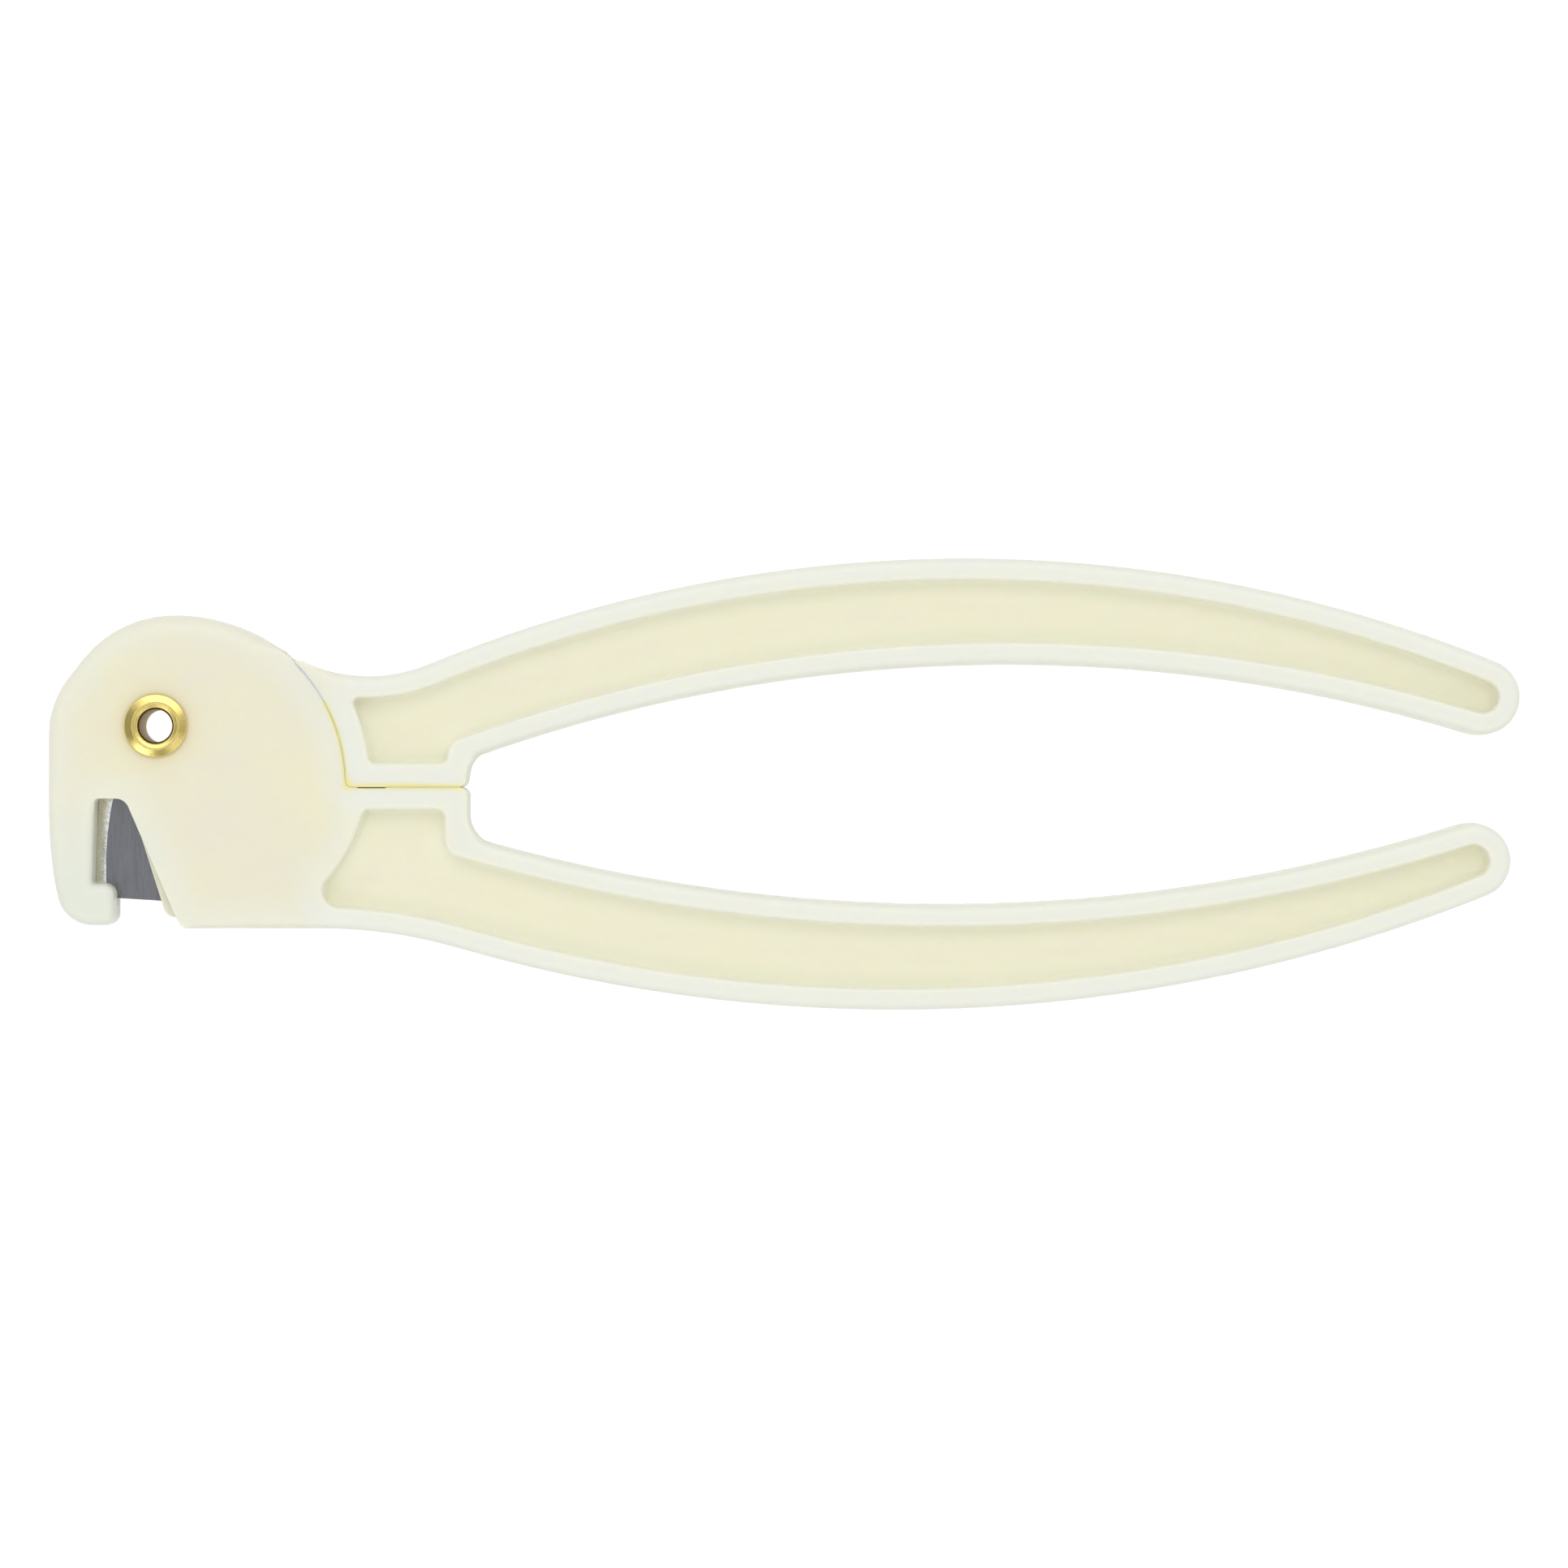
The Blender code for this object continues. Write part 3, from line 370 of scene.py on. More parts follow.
class Wire:
    """An output of a material's nodes. Arithmetic between wires and numbers adds Math nodes."""

    def __init__(self, tree, socket=None):
        self.tree, self.socket = tree, socket

    def node(self, kind, settings, inputs, output=0):
        """Add a node of any other kind: its settings first, then its inputs by name or number."""
        made = self.tree.nodes.new(kind)
        for name, value in settings.items():
            setattr(made, name, value)
        for name, value in inputs.items():
            if isinstance(value, Wire):
                self.tree.links.new(value.socket, made.inputs[name])
            else:
                made.inputs[name].default_value = value
        return Wire(self.tree, made.outputs[output]) if made.outputs else made

    def math(self, operation, *terms):
        return self.node("ShaderNodeMath", {"operation": operation}, dict(enumerate(terms)))

    def __add__(self, other):
        return self.math("ADD", self, other)

    def __sub__(self, other):
        return self.math("SUBTRACT", self, other)

    def __rsub__(self, other):
        return self.math("SUBTRACT", other, self)

    def __mul__(self, other):
        return self.math("MULTIPLY", self, other)

    def __truediv__(self, other):
        return self.math("DIVIDE", self, other)

    def __rtruediv__(self, other):
        return self.math("DIVIDE", other, self)

    def __pow__(self, other):
        return self.math("POWER", self, other)

    def __rpow__(self, other):
        return self.math("POWER", other, self)

    __radd__, __rmul__ = __add__, __mul__

    def held(self, low=0.0, high=1.0):
        """The value kept between two limits."""
        return self.math("MINIMUM", self.math("MAXIMUM", self, low), high)

    def mix(self, first, second):
        """Two colours mixed by this wire's share of the second."""
        return self.node("ShaderNodeMix", {"data_type": "RGBA"}, {0: self, 6: first, 7: second}, 2)

    def vector(self, operation, *terms, output=0):
        return self.node("ShaderNodeVectorMath", {"operation": operation}, dict(enumerate(terms)), output)

    def part(self, axis):
        """One coordinate of this wire's vector."""
        return self.node("ShaderNodeSeparateXYZ", {}, {0: self}, axis)

    def stored(self, name):
        """A value that the mesh holds at its points or faces."""
        return self.node("ShaderNodeAttribute", {"attribute_name": name}, {}, "Fac")

    def noise(self, vector, scale, detail=2.0, roughness=0.5):
        return self.node("ShaderNodeTexNoise", {}, {"Vector": vector, "Scale": scale, "Detail": detail,
                                                    "Roughness": roughness})

    def bump(self, height, distance, strength=1.0, normal=None):
        linked = {"Height": height, "Distance": distance, "Strength": strength}
        return self.node("ShaderNodeBump", {}, linked | ({"Normal": normal} if normal else {}))


def new_finish(name):
    """An empty material, with a wire to start its nodes from."""
    material = bpy.data.materials.new(name)
    material.use_nodes = True
    material.node_tree.nodes.clear()
    return material, Wire(material.node_tree)


def colour(red, green, blue):
    """A colour as the eye reads it, 0 to 255, turned into light: the screen's power curve."""
    share = np.array([red, green, blue]) / 255
    return (*(((share + 0.055) / 1.055) ** 2.4).tolist(), 1.0)


def from_pivot(start, place):
    """The distance in millimetres from the pivot's axis, and the offset from it, both in the plane."""
    centre = (HEAD_AT + PIVOT) * MM
    offset = start.vector("SUBTRACT", place, (centre.real, centre.imag, 0))
    offset = start.vector("MULTIPLY", offset, (1 / MM, 1 / MM, 0))
    return start.vector("LENGTH", offset, output="Value"), offset


def natural_plastic(name, seed):
    """Cream plastic with painted light: whiter where thin and paler at the hook for light that shines
    through, paler on the webs to lift their shade, a warm painted shade and brass reflection round the rivet,
    and yellow painted light in the seam.

    Its noise is the same on both mouldings and slid along by the seed, so that the clouds differ.
    """
    material, start = new_finish(name)
    place = start.node("ShaderNodeTexCoord", {}, {}, "Object")
    slid = start.vector("ADD", place, (seed, 0, 0))
    cloud = ((start.noise(slid, 90, 2.0) - 0.5) * 2.2 + 0.5).held()
    base = cloud.mix(colour(243, 239, 212), colour(240, 235, 217))
    # Painted light: a paler colour on the webs, most at the foot of the ribs, lifts the shade of the recess.
    base = start.stored("painted_recess_light").mix(base, colour(252, 248, 226))
    # Painted light: whiter on the ribs and edges, standing in for light that shines through the thin plastic.
    base = start.stored("painted_thin_light").mix(base, colour(242, 243, 232))
    # Painted light: paler and cooler round the hook, standing in for light that shines through its thin
    # cheeks.
    hook = (HEAD_AT - 10.5 - 13j) * MM
    reach = start.vector("DISTANCE", place, (hook.real, hook.imag, THICKNESS * MM), output="Value")
    base = ((12 - reach / MM) / 9).held().mix(base, colour(235, 238, 226))
    # Painted shade and reflection: a warm darker ring round the flange, standing in for its contact shade and
    # the brass's warm bounce.
    from_axis, _ = from_pivot(start, place)
    painted_rivet_shade = (2.718 ** (FLANGE_RADIUS - from_axis)).held() * 0.5
    base = painted_rivet_shade.mix(base, colour(234, 215, 170))
    # Painted light: yellow in and beside the seam, standing in for light trapped between the two handles.
    base = ((0.45 - start.stored("seam")) / 0.4).held().mix(base, colour(252, 238, 168))
    grain = start.noise(place, 1600, 2.0)
    sway = start.noise(slid, 160, 1.0)
    fine = start.bump(grain, 0.004 * MM)
    normal = start.bump(sway, 0.05 * MM, 0.6, fine)
    surface = start.node("ShaderNodeBsdfPrincipled", {"subsurface_method": "RANDOM_WALK"}, {
        "Base Color": base, "Roughness": 0.34 + 0.10 * sway, "Subsurface Weight": 0.9,
        "Subsurface Radius": (1.0, 0.85, 0.55), "Subsurface Scale": 0.5 * MM, "Subsurface Anisotropy": 0.2,
        "IOR": 1.46, "Specular IOR Level": 0.5, "Normal": normal})
    start.node("ShaderNodeOutputMaterial", {}, {"Surface": surface})
    return material


LOWER_OUTER = crescent(78.14 - 24.62j, 172.0, 1)
LOWER_INNER = crescent(83.47 - 13.05j, 185.9, -1)


def lower_sides():
    """The lower handle's sides, counterclockwise: stop face, head, hook, notch, jaw, belly and grip."""
    brow, arm_top = heading(BROW_HEADING), -HEAD_LEFT - 2.5j
    wall = Line(-NOTCH_WALL - 1j * HOOK_TOP, heading(88.4))
    return [
        Side(Line(LOWER_STOP, -1), MATING_EDGE, 0.75, HEAD_RADIUS),
        Side(Arc(0, HEAD_RADIUS, 1), HEAD_EDGE, 12.5, HEAD_RADIUS * heading(115)),
        Side(Line(-1j * brow * BROW_OUT, brow), HEAD_EDGE, 10.0, -HEAD_LEFT),
        Side(Line(-HEAD_LEFT, -1j), HEAD_EDGE, 0, arm_top),
        Side(Arc(arm_top + ARM_BOW, ARM_BOW, 1), HEAD_EDGE, 4.0, -HEAD_LEFT - 1j * HOOK_BOTTOM),
        Side(Line(-1j * HOOK_BOTTOM, 1), HOOK_EDGE, 1.25, -HOOK_END - 1j * HOOK_BOTTOM),
        Side(Line(-HOOK_END, 1j), HOOK_EDGE, 1.25, -HOOK_END - 1j * HOOK_TOP),
        Side(Line(-1j * HOOK_TOP, -1), HOOK_EDGE, 0.3, wall.point),
        Side(wall, 0.9, 0.4, -NOTCH_WALL - 1j * NOTCH_TOP),
        Side(Line(-1j * NOTCH_TOP, 1), (0.5, MATING_EDGE), 1.5, JAW_TOP),
        Side(Line(JAW_TOP, heading(-66.6)), MATING_EDGE, 1.5, -1j * HEAD_BOTTOM),
        Side(Line(-1j * HEAD_BOTTOM, 1), HOOK_EDGE, 55.0, HEAD_RADIUS - 1j * HEAD_BOTTOM),
        Side(LOWER_OUTER, RIB_EDGE, LOWER_GRIP_END, 160),
        Side(LOWER_INNER, RIB_EDGE, 3.0, STOP_END),
        Side(Line(STOP_END, 1j), MATING_EDGE, 0.9, STOP_END + LOWER_STOP),
    ]


def sunk(side, corner):
    """A side of a recess: one rib's width in from the outline."""
    return side._replace(path=shifted(side.path, RIB_WIDTH), corner=corner)


def lower_recess():
    """The hollow between the lower ribs, ended by the wall behind the fork's slot."""
    sides = lower_sides()
    stop, bottom, outer, inner, stop_end = sides[0], *sides[-4:]
    belly = corner_arc(bottom.path, outer.path, bottom.corner, bottom.near)[0]
    behind_slot = Arc(2.9 + 1.5j, 18.0, -1)
    return trace([sunk(stop, 0.8), Side(behind_slot, 0, 1.8, HEAD_RADIUS * heading(-45)),
                  sunk(Side(belly, 0, 0, bottom.near), 0), sunk(outer, LOWER_GRIP_END - RIB_WIDTH),
                  sunk(inner, 2.0), sunk(stop_end, 0.95)])


BLADE_HUB, BLADE_EDGE, EDGE_BOW = 4.0, -9.7, 38
BLADE_CORNER = -6.4 - 12.46j
BLADE_HEEL = BLADE_CORNER + 6.8 - 0.44j
TANG_END, TANG_LOW, TANG_HIGH = 22.6, 0.1j, 7j
BLADE_SLOT, BLADE_TIP_GAP, ARM_SLOT_WALL, HOOK_SLOT_END = 0.88, 0.15, -10.0, -4.6


def blade_sides():
    """The blade's sides, counterclockwise: tang, hub round the rivet, back, cutting edge, end and spine."""
    back = heading(-109)
    return [
        Side(Line(TANG_LOW, 1), 0, 0, TANG_END),
        Side(Line(TANG_END, 1j), 0, 0, TANG_END + TANG_HIGH),
        Side(Line(TANG_HIGH, -1), 0, 2.0, PIVOT + BLADE_HUB),
        Side(Arc(PIVOT, BLADE_HUB, 1), 0, 0, PIVOT - BLADE_HUB),
        Side(Line(PIVOT - 1j * back * BLADE_HUB, back), 0, 0, BLADE_EDGE),
        Side(Arc(BLADE_EDGE + EDGE_BOW - 9.0j, EDGE_BOW, 1), 0, 0, BLADE_EDGE - 10.75j),
        Side(Line(BLADE_CORNER, heading(-4)), 0, 1.0, BLADE_HEEL),
        Side(Line(BLADE_HEEL, heading(68)), 0, 3.0, BLADE_HEEL),
    ]


def tongue_slot():
    """The room between the cheeks for the tongue, closed and wide open, and open along the head's top."""
    back, edge = heading(TONGUE_BACK + OPENING), heading(TONGUE_EDGE)
    hub, core = Arc(PIVOT, TONGUE_HUB + CLEARANCE, 1), Arc(PIVOT, TONGUE_RADIUS + CLEARANCE, 1)
    first, last = PIVOT - 1j * back * hub.radius, PIVOT - 1j * edge * hub.radius
    low = meet(core, Line(last, edge), PIVOT + core.radius * heading(-85))
    stop = meet(core, Line(LOWER_STOP, -1), HEAD_RADIUS)
    return np.concatenate([[first - back * 30], along(hub, first, last), along(core, low, stop),
                           [stop + 10 * heading(5), 30 + 30j]])


def blade_slot():
    """The thin room for the blade in the arm and in the hook, running into the tongue's."""
    cutting, end = blade_sides()[-3:-1]
    tip = meet(cutting.path, end.path, BLADE_CORNER)
    round_tip = Arc(PIVOT, abs(tip - PIVOT) + BLADE_TIP_GAP, 1)
    run = along(round_tip, meet(Line(ARM_SLOT_WALL, -1j), round_tip, tip),
                meet(round_tip, Line(HOOK_SLOT_END, -1j), tip))
    return np.concatenate([[ARM_SLOT_WALL], run, [PIVOT, PIVOT - TONGUE_HUB]])


def beside_neck(points, into, edges):
    """The outline with a small edge where the neck lies against the round, least at the neck's tip."""
    around = np.angle(points, deg=True)
    beside = (abs(abs(points) - HEAD_RADIUS) < 0.05) & (around > -4) & (around < NECK_TIP + 1)
    return points, into, np.where(beside, np.interp(around, [26, 38], [SHOULDER_EDGE, TIP_EDGE]), edges)


lower_outline = eased(*beside_neck(*trace(lower_sides())))
lower_hollow = lower_recess()
stop_relief = np.array([19.7 - 0.47j, 22.8 - 0.47j, 22.8, 19.7])    # a shallow step in the front's stop face
lower_handle = worked(
    moulded("lower_handle", lower_outline),
    ("DIFFERENCE", recess("front_recess", lower_hollow, 1)),
    ("DIFFERENCE", recess("rear_recess", lower_hollow, -1)),
    ("DIFFERENCE", layer("tongue_slot", tongue_slot(), TONGUE + 2 * CLEARANCE)),
    ("DIFFERENCE", layer("blade_slot", blade_slot(), BLADE_SLOT)),
    ("DIFFERENCE", slab("stop_relief", stop_relief, MIDDLE, THICKNESS + PAST)),
    ("DIFFERENCE", bar("pivot_hole", RIVET_RADIUS + HOLE_GAP, -PAST, THICKNESS + PAST)),
    ("DIFFERENCE", bar("rear_seat", FLANGE_RADIUS + SEAT_GAP, -PAST, FLANGE_HEIGHT + 0.03)))
quilt(lower_handle)
stain(lower_handle, lower_outline[0], lower_hollow[0])
smooth(lower_handle)
lower_handle.data.materials.clear()
lower_handle.data.materials.append(natural_plastic("natural_plastic_lower", 0.0))
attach(lower_handle, "anvil_handle")
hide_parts("anvil_handle")

# The upper handle is the second moulding in the same cream plastic. Its grip bows the other way, and its
# neck lies against the head's round. From the neck a tongue runs between the cheeks to the rivet, moulded
# round the blade.
SHOULDER_GAP, NECK_DROP = 0.007, 0.06
SHOULDER, NECK_TOP = HEAD_RADIUS + SHOULDER_GAP, HEAD_RADIUS - NECK_DROP
UPPER_STOP, UPPER_STOP_END = STOP_LINE + 0.5j * STOP_GAP, 31.4
UPPER_GRIP_END = 4.19
UPPER_OUTER = crescent(85.66 + 24.58j, 153.6, 1)
UPPER_INNER = crescent(90.27 + 12.95j, 172.2, -1)
VALLEY = corner_arc(UPPER_OUTER, Arc(0, NECK_TOP, 1), 17.6, NECK_TOP * heading(40))[0]


def upper_sides():
    """The upper handle's sides, counterclockwise: stop face, grip, valley and the shoulder round the head."""
    return [
        Side(Line(UPPER_STOP, 1), MATING_EDGE, 0.9, UPPER_STOP_END),
        Side(Line(UPPER_STOP_END, heading(81)), MATING_EDGE, 2.2, UPPER_STOP_END),
        Side(UPPER_INNER, RIB_EDGE, UPPER_GRIP_END, 170),
        Side(UPPER_OUTER, RIB_EDGE, 0, VALLEY.centre),
        Side(VALLEY, RIB_EDGE, 0.25, SHOULDER * heading(NECK_TIP)),
        Side(Arc(0, SHOULDER, -1), (TIP_EDGE, SHOULDER_EDGE), 0.8, SHOULDER),
    ]


def upper_recess():
    """The hollow between the upper ribs. Those along the stop face and the shoulder are a little wider."""
    stop, stop_end, inner, outer, hollow, shoulder = upper_sides()
    stop = stop._replace(path=shifted(stop.path, 0.2))
    hollow = hollow._replace(near=SHOULDER * heading(26))
    shoulder = shoulder._replace(path=Arc(0, HEAD_RADIUS + 0.3, -1))
    return trace([sunk(stop, 0.7), sunk(stop_end, 2.0), sunk(inner, UPPER_GRIP_END - RIB_WIDTH),
                  sunk(outer, 0), sunk(hollow, 0.6), sunk(shoulder, 0.6)])


def tongue_sides():
    """The layer that runs between the cheeks, rooted in the neck."""
    sink, crown, edge, back = 0.15, 17.0, heading(TONGUE_EDGE), heading(TONGUE_BACK)
    out = VALLEY.centre / abs(VALLEY.centre)
    return [
        Side(Arc(PIVOT, TONGUE_RADIUS, 1), 0, 0, SHOULDER),
        Side(Arc(0, HEAD_RADIUS + 1.7, 1), 0, 0, SHOULDER * heading(38)),
        Side(shifted(VALLEY, sink), 0, 0, VALLEY.centre),
        Side(Arc(out * (NECK_TOP - sink - crown), crown, 1), 0, 3.0, 1j * HEAD_RADIUS),
        Side(Line(PIVOT - 1j * back * TONGUE_HUB, back), 0, 0, PIVOT - TONGUE_HUB),
        Side(Arc(PIVOT, TONGUE_HUB, 1), 0, 0, PIVOT - TONGUE_HUB),
        Side(Line(PIVOT - 1j * edge * TONGUE_HUB, edge), 0, 1.2, PIVOT + TONGUE_RADIUS * heading(-85)),
    ]


upper_outline = eased(*trace(upper_sides()))
upper_hollow = upper_recess()
tongue_points, tongue_into, _ = trace(tongue_sides())
BLADE_THICKNESS, BLADE_FIT = 0.8, 0.03
pocket = trace([side._replace(path=shifted(side.path, -BLADE_FIT)) for side in blade_sides()])[0]
upper_handle = worked(
    moulded("upper_handle", upper_outline),
    ("DIFFERENCE", recess("front_recess", upper_hollow, 1)),
    ("DIFFERENCE", recess("rear_recess", upper_hollow, -1)),
    ("UNION", layer("tongue", tongue_points, TONGUE, tongue_into, 0.2)),
    ("DIFFERENCE", layer("blade_pocket", pocket, BLADE_THICKNESS + 2 * BLADE_FIT)),
    ("DIFFERENCE", bar("tongue_hole", RIVET_RADIUS + HOLE_GAP, 0, THICKNESS)))
quilt(upper_handle)
stain(upper_handle, upper_outline[0], upper_hollow[0])
smooth(upper_handle)
upper_handle.data.materials.clear()
upper_handle.data.materials.append(natural_plastic("natural_plastic_upper", 0.37))
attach(upper_handle, "blade_handle")
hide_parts("blade_handle")

# The blade is a steel stamping, brushed on its faces and ground along its cutting edge from both sides.
# It is moulded into the tongue, held by the rivet and by its tang, and stands free only in the notch.
GRIND, LAND, BREAK = 1.75, 0.1, 0.05
STEEP, FIRST_GRIND = 0.1, 0.77          # where the steep part and the first grind end, as shares of the grind
STEEP_TOP, LAST_HEIGHT = 0.25, 0.04     # the steep part's height over the middle, and the last grind's own


def blade_rings():
    """The blade's outline at eight heights.

    The outline stays whole from the land to the faces, where it steps in by the small break. Along the
    cutting edge it moves in by the grind's width instead, first steeply and then in two flatter parts.
    """
    sides = blade_sides()
    points, into, _ = trace(sides)
    cutting = sides[-3].path
    ground = shifted(cutting, GRIND)
    on_edge = (abs(abs(points - cutting.centre) - cutting.radius) < 0.01) & (points.real < PIVOT.real)
    band = along(ground, foot_on(ground, points[on_edge][0]), meet(ground, sides[-2].path, BLADE_CORNER))
    way, marks = np.linspace(0, 1, on_edge.sum()), np.linspace(0, 1, len(band))
    face = points + into * BREAK
    face[on_edge] = np.interp(way, marks, band.real) + 1j * np.interp(way, marks, band.imag)
    top = BLADE_THICKNESS / 2
    share = np.where(on_edge, np.array([0.0, STEEP, FIRST_GRIND, 1.0])[:, None],
                     np.array([0.0, 0.0, 0.0, 1.0])[:, None])
    rise = np.where(on_edge, np.array([LAND / 2, STEEP_TOP, top - LAST_HEIGHT, top])[:, None],
                    np.array([LAND / 2, top / 2, top - BREAK, top])[:, None])
    half = points + (face - points) * share
    return np.concatenate([half[::-1], half]), MIDDLE + np.concatenate([-rise[::-1], rise])


def mark_grind(piece):
    """Store each face's grind, told by tilt and height: 0 for none, a half for the first, 1 for the last."""
    faces = piece.data.polygons
    tilt = abs(np.array([face.normal.z for face in faces]))
    height = abs(np.array([face.center.z for face in faces]) / MM - MIDDLE)
    last = height > BLADE_THICKNESS / 2 - 0.75 * LAST_HEIGHT
    ground = np.where((tilt < 0.9999) & (tilt > 0.5), np.where(last, 1.0, 0.5), 0.0)
    piece.data.attributes.new("ground", "FLOAT", "FACE").data.foreach_set("value", ground)


def blade_steel():
    """Grey steel, brushed along the blade, with the first grind in pale speckles and the last one grey."""
    material, start = new_finish("blade_steel")
    place = start.node("ShaderNodeTexCoord", {}, {}, "Object")
    turned = start.node("ShaderNodeMapping", {"vector_type": "POINT"},
                        {"Vector": place, "Rotation": (0, 0, np.radians(-4)), "Scale": (1.0, 0.06, 1.0)})
    brushed = start.noise(turned, 7000, 3.0, 0.6)
    broad = start.noise(turned, 1200, 2.0)
    ground = start.stored("ground")
    speck = ((start.noise(place, 4200, 2.0, 0.6) - 0.5) * 2.4 + 0.5).held()
    face = (brushed * 0.6 + broad * 0.4).held().mix(colour(108, 109, 113), colour(141, 142, 147))
    first = speck.mix(colour(214, 211, 194), colour(238, 236, 222))
    last = speck.mix(colour(190, 190, 190), colour(238, 238, 238))
    base = (ground * 2).held().mix(face, (ground * 2 - 1).held().mix(first, last))
    normal = start.bump(brushed, 0.004 * MM)
    surface = start.node("ShaderNodeBsdfPrincipled", {}, {
        "Base Color": base, "Metallic": 1.0, "Roughness": 0.22 + 0.12 * brushed - 0.10 * ground,
        "Normal": normal})
    start.node("ShaderNodeOutputMaterial", {}, {"Surface": surface})
    return material


blade = worked(skin("blade", *blade_rings()),
               ("DIFFERENCE", bar("blade_hole", RIVET_RADIUS + HOLE_GAP, 0, THICKNESS)))
mark_grind(blade)
smooth(blade, 3)
blade.data.materials.clear()
blade.data.materials.append(blade_steel())
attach(blade, "blade_handle")
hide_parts("cutting_blade")

# The pivot is one hollow rivet of thin brass. Its front flange is rolled out over the face of the head,
# with a crest round the mouth, and its rear flange lies flush in a seat in the rear cheek.
RIM_WIDTH, RIM_HEIGHT = 0.12, 0.17
CREST_FROM, CREST_TO, FUNNEL_SLOPE, CONE_SLOPE = 2.42, 2.66, 0.18, -0.25
FUNNEL_END, LIP_RADIUS, LIP_DEPTH, BORE = 2.12, 2.15, 0.25, 1.78


def rivet_half():
    """One half of the turned profile: (radius, height above the flange's seat), from the barrel to the bore.

    Quarter-ellipses make the rim and the mouth. Between them the slope runs from the outer cone's over the
    crest to the inner funnel's, and the height is the slope summed along the radius.
    """
    turn = np.linspace(0, np.pi / 2, 9)
    rim = FLANGE_RADIUS - RIM_WIDTH
    reach = np.linspace(rim, FUNNEL_END, 22)
    slope = np.interp(reach, [CREST_FROM, CREST_TO], [FUNNEL_SLOPE, CONE_SLOPE])
    steps = (slope[1:] + slope[:-1]) / 2 * np.diff(reach)
    face = np.concatenate([[0], np.cumsum(steps)])
    face += FLANGE_HEIGHT - face.max()
    lip = np.linspace(0.085, np.pi / 2, 9)[1:]
    radius = np.concatenate([[RIVET_RADIUS, rim - 0.01], rim + RIM_WIDTH * np.cos(turn[:-1]), reach,
                             LIP_RADIUS - (LIP_RADIUS - BORE) * np.sin(lip)])
    height = np.concatenate([[0.0, 0.0], face[0] - RIM_HEIGHT * (1 - np.sin(turn[:-1])), face,
                             -LIP_DEPTH + (face[-1] + LIP_DEPTH) * np.cos(lip)])
    return radius, height


def turned_rivet(steps=120):
    """The profile turned about the pivot's axis: radius times heading, closed both ways round."""
    radius, height = rivet_half()
    radius = np.concatenate([radius, radius[::-1]])
    height = np.concatenate([THICKNESS + height, FLANGE_HEIGHT - height[::-1]])
    around = np.arange(steps) * 2 * np.pi / steps
    spot = (radius[:, None] * np.exp(1j * around) + PIVOT + HEAD_AT) * MM
    index = np.arange(radius.size * steps).reshape(radius.size, steps)
    beside, above = np.roll(index, -1, axis=1), np.roll(index, -1, axis=0)
    quads = np.stack([index, beside, np.roll(beside, -1, axis=0), above], axis=-1).reshape(-1, 4)
    mesh = bpy.data.meshes.new("rivet")
    height = np.broadcast_to(height[:, None] * MM, spot.shape)
    mesh.from_pydata(np.stack([spot.real, spot.imag, height], axis=-1).reshape(-1, 3).tolist(), [],
                     quads.tolist())
    rivet = bpy.data.objects.new("rivet", mesh)
    bpy.context.scene.collection.objects.link(rivet)
    return rivet


def brass():
    """Rolled brass with fine scratches across the roll and tool marks round it, duller in the bore."""
    material, start = new_finish("brass")
    place = start.node("ShaderNodeTexCoord", {}, {}, "Object")
    reach, offset = from_pivot(start, place)
    around = start.math("ARCTAN2", offset.part("Y"), offset.part("X"))
    across = start.node("ShaderNodeCombineXYZ", {}, {0: around * 14.0, 1: reach * 0.8})
    across_roll = start.noise(across, 4.0, 3.0, 0.65)
    beside = start.node("ShaderNodeCombineXYZ", {}, {0: around * 0.7, 1: reach * 6.0})
    round_roll = start.noise(beside, 3.0, 2.0)
    mottle = start.noise(place, 900, 3.0)
    base = (mottle * 0.7 + across_roll * 0.3).held().mix(colour(214, 188, 98), colour(244, 226, 150))
    height = place.part("Z") / MM
    inside = ((THICKNESS + 0.25 - height) / 0.2).held() * ((2.05 - reach) / 0.1).held()
    base = inside.mix(base, colour(158, 128, 62))
    normal = start.bump(across_roll, 0.008 * MM, 0.8, start.bump(round_roll, 0.008 * MM, 0.6))
    surface = start.node("ShaderNodeBsdfPrincipled", {}, {
        "Base Color": base, "Metallic": 1.0, "Roughness": 0.08 + 0.12 * across_roll + 0.35 * inside,
        "Normal": normal})
    start.node("ShaderNodeOutputMaterial", {}, {"Surface": surface})
    return material


rivet = turned_rivet()
smooth(rivet, 60)
rivet.data.materials.append(brass())
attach(rivet, "anvil_handle")
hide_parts("pivot_eyelet")

# The table, light and camera. The tool lies on a matt white table in a white room. A long soft lamp hangs
# beyond the upper handle and a small bright one beyond the hook. The camera looks straight down from above.
TABLE_TOP, TABLE_REACH = -0.0002, 3
CAMERA_HEIGHT, LENS = 0.749, 156.7


def white_table():
    """A matt white top that shows as plain white to the camera and in the metal, with the tool's shadow."""
    material, start = new_finish("white_table")
    direct, mirrored, through = (start.node("ShaderNodeLightPath", {}, {}, f"Is {kind} Ray")
                                 for kind in ("Camera", "Glossy", "Transmission"))
    seen = (direct + mirrored + through).held()
    matt = start.node("ShaderNodeBsdfDiffuse", {}, {"Color": (0.8, 0.8, 0.8, 1)})
    lit = start.node("ShaderNodeBsdfDiffuse", {}, {"Color": (0.2, 0.2, 0.2, 1)})
    glow = start.node("ShaderNodeEmission", {}, {"Color": (1, 1, 1, 1), "Strength": 0.98})
    both = start.node("ShaderNodeAddShader", {}, {0: lit, 1: glow})
    shown = start.node("ShaderNodeMixShader", {}, {0: seen, 1: matt, 2: both})
    start.node("ShaderNodeOutputMaterial", {}, {"Surface": shown})
    return material


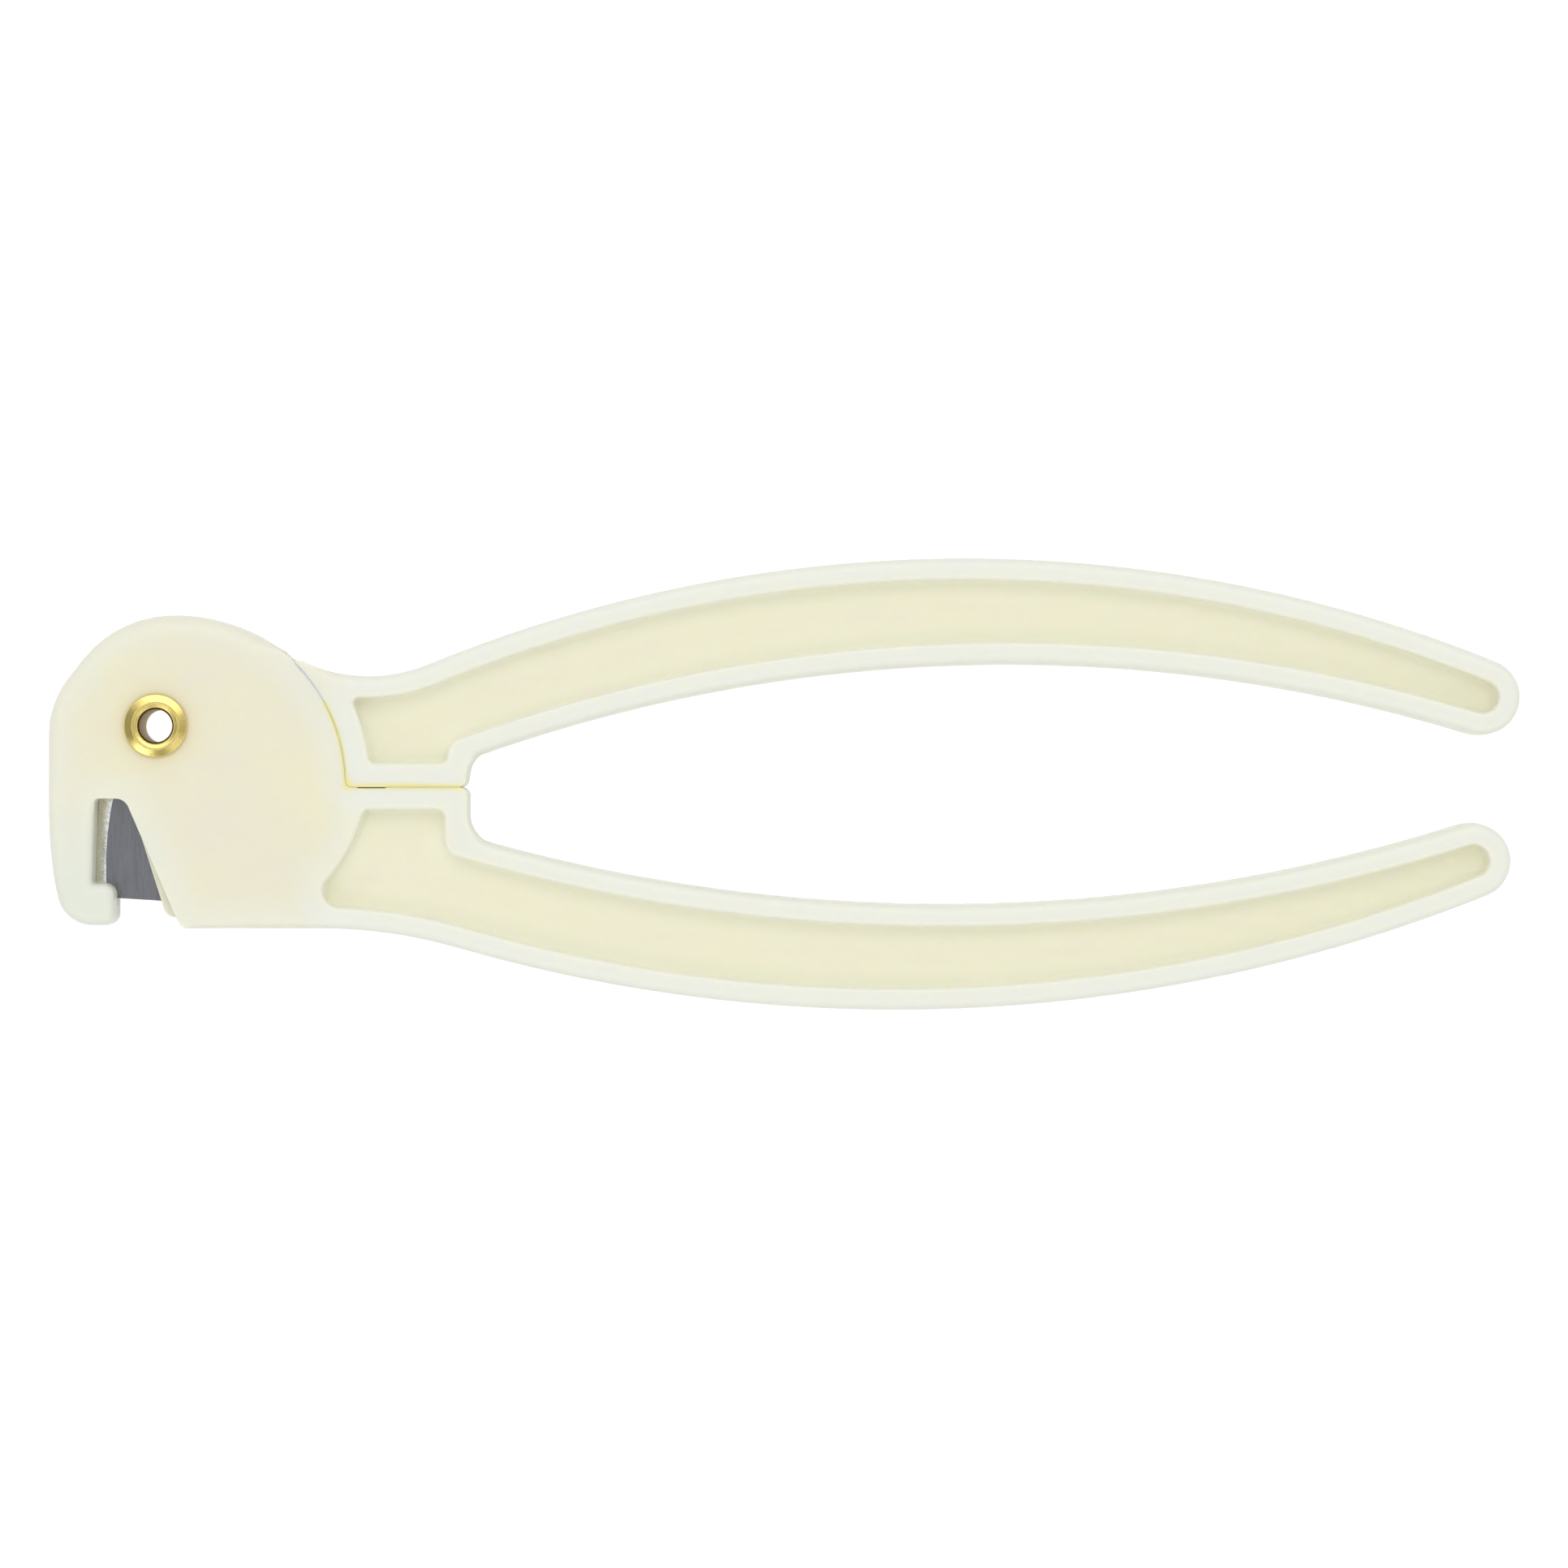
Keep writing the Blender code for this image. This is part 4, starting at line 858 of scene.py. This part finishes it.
def lamp(name, place, width, depth, level):
    """A soft box of a given size, aimed at the tool, whose surface shines at a level where 1 is white."""
    light = bpy.data.lights.new(name, "AREA")
    light.shape, light.size, light.size_y = "RECTANGLE", width, depth
    light.energy = level * np.pi * width * depth
    stand = bpy.data.objects.new(name, light)
    stand.location = place
    stand.rotation_euler = (-Vector(place)).to_track_quat("-Z", "Y").to_euler()
    bpy.context.scene.collection.objects.link(stand)


def between(value, low, high, low_blur, high_blur):
    """One inside a band of values, fading to zero at its two ends: a ramp up times a ramp down."""
    return ((value - low) / low_blur).held() * ((high - value) / high_blur).held()


def white_room():
    """Light from all round, brighter from above, with a dark patch round the camera and dark cards.

    One card hangs over each end of the tool and one over its near side. Each is a band of directions along
    the tool times one across it, and the metal and the rounded edges mirror them.
    """
    world = bpy.data.worlds.new("studio")
    world.use_nodes = True
    world.node_tree.nodes.clear()
    start = Wire(world.node_tree)
    towards = start.node("ShaderNodeTexCoord", {}, {}, "Generated")
    from_camera = start.vector("DISTANCE", towards, (0.06, 0, 1), output="Value")
    along_tool, across_tool = start.math("ABSOLUTE", towards.part("X")), towards.part("Y")
    end_cards = between(along_tool, 0.30, 0.75, 0.08, 0.15)
    end_cards = end_cards * ((0.40 - start.math("ABSOLUTE", across_tool)) / 0.12).held()
    near_card = between(0 - across_tool, 0.28, 0.70, 0.06, 0.15) * ((0.20 - along_tool) / 0.08).held()
    level = 0.665 + 0.66 * towards.part("Z").held() - 0.80 * ((0.25 - from_camera) / 0.07).held()
    level = level - 0.85 * end_cards - 0.85 * near_card
    shine = start.node("ShaderNodeBackground", {}, {"Color": (0.98, 0.99, 1.0, 1), "Strength": level})
    start.node("ShaderNodeOutputWorld", {}, {"Surface": shine})
    return world


table_mesh = bpy.data.meshes.new("table")
table_mesh.from_pydata([(x * TABLE_REACH, y * TABLE_REACH, TABLE_TOP)
                        for x, y in ((-1, -1), (1, -1), (1, 1), (-1, 1))], [], [(0, 1, 2, 3)])
table = bpy.data.objects.new("table", table_mesh)
bpy.context.scene.collection.objects.link(table)
table.data.materials.append(white_table())

lamp("main_lamp", (0.05, 0.48, 1.0), 0.9, 0.35, 0.8)
lamp("corner_lamp", (-0.5, -0.5, 0.9), 0.3, 0.3, 1.9)

bpy.context.scene.world = white_room()

camera = bpy.data.objects.new("camera", bpy.data.cameras.new("camera"))
camera.data.lens, camera.data.sensor_width = LENS, 36.0
camera.location = (0, 0, CAMERA_HEIGHT)
bpy.context.scene.collection.objects.link(camera)
bpy.context.scene.camera = camera
bpy.context.scene.view_settings.view_transform = "Standard"
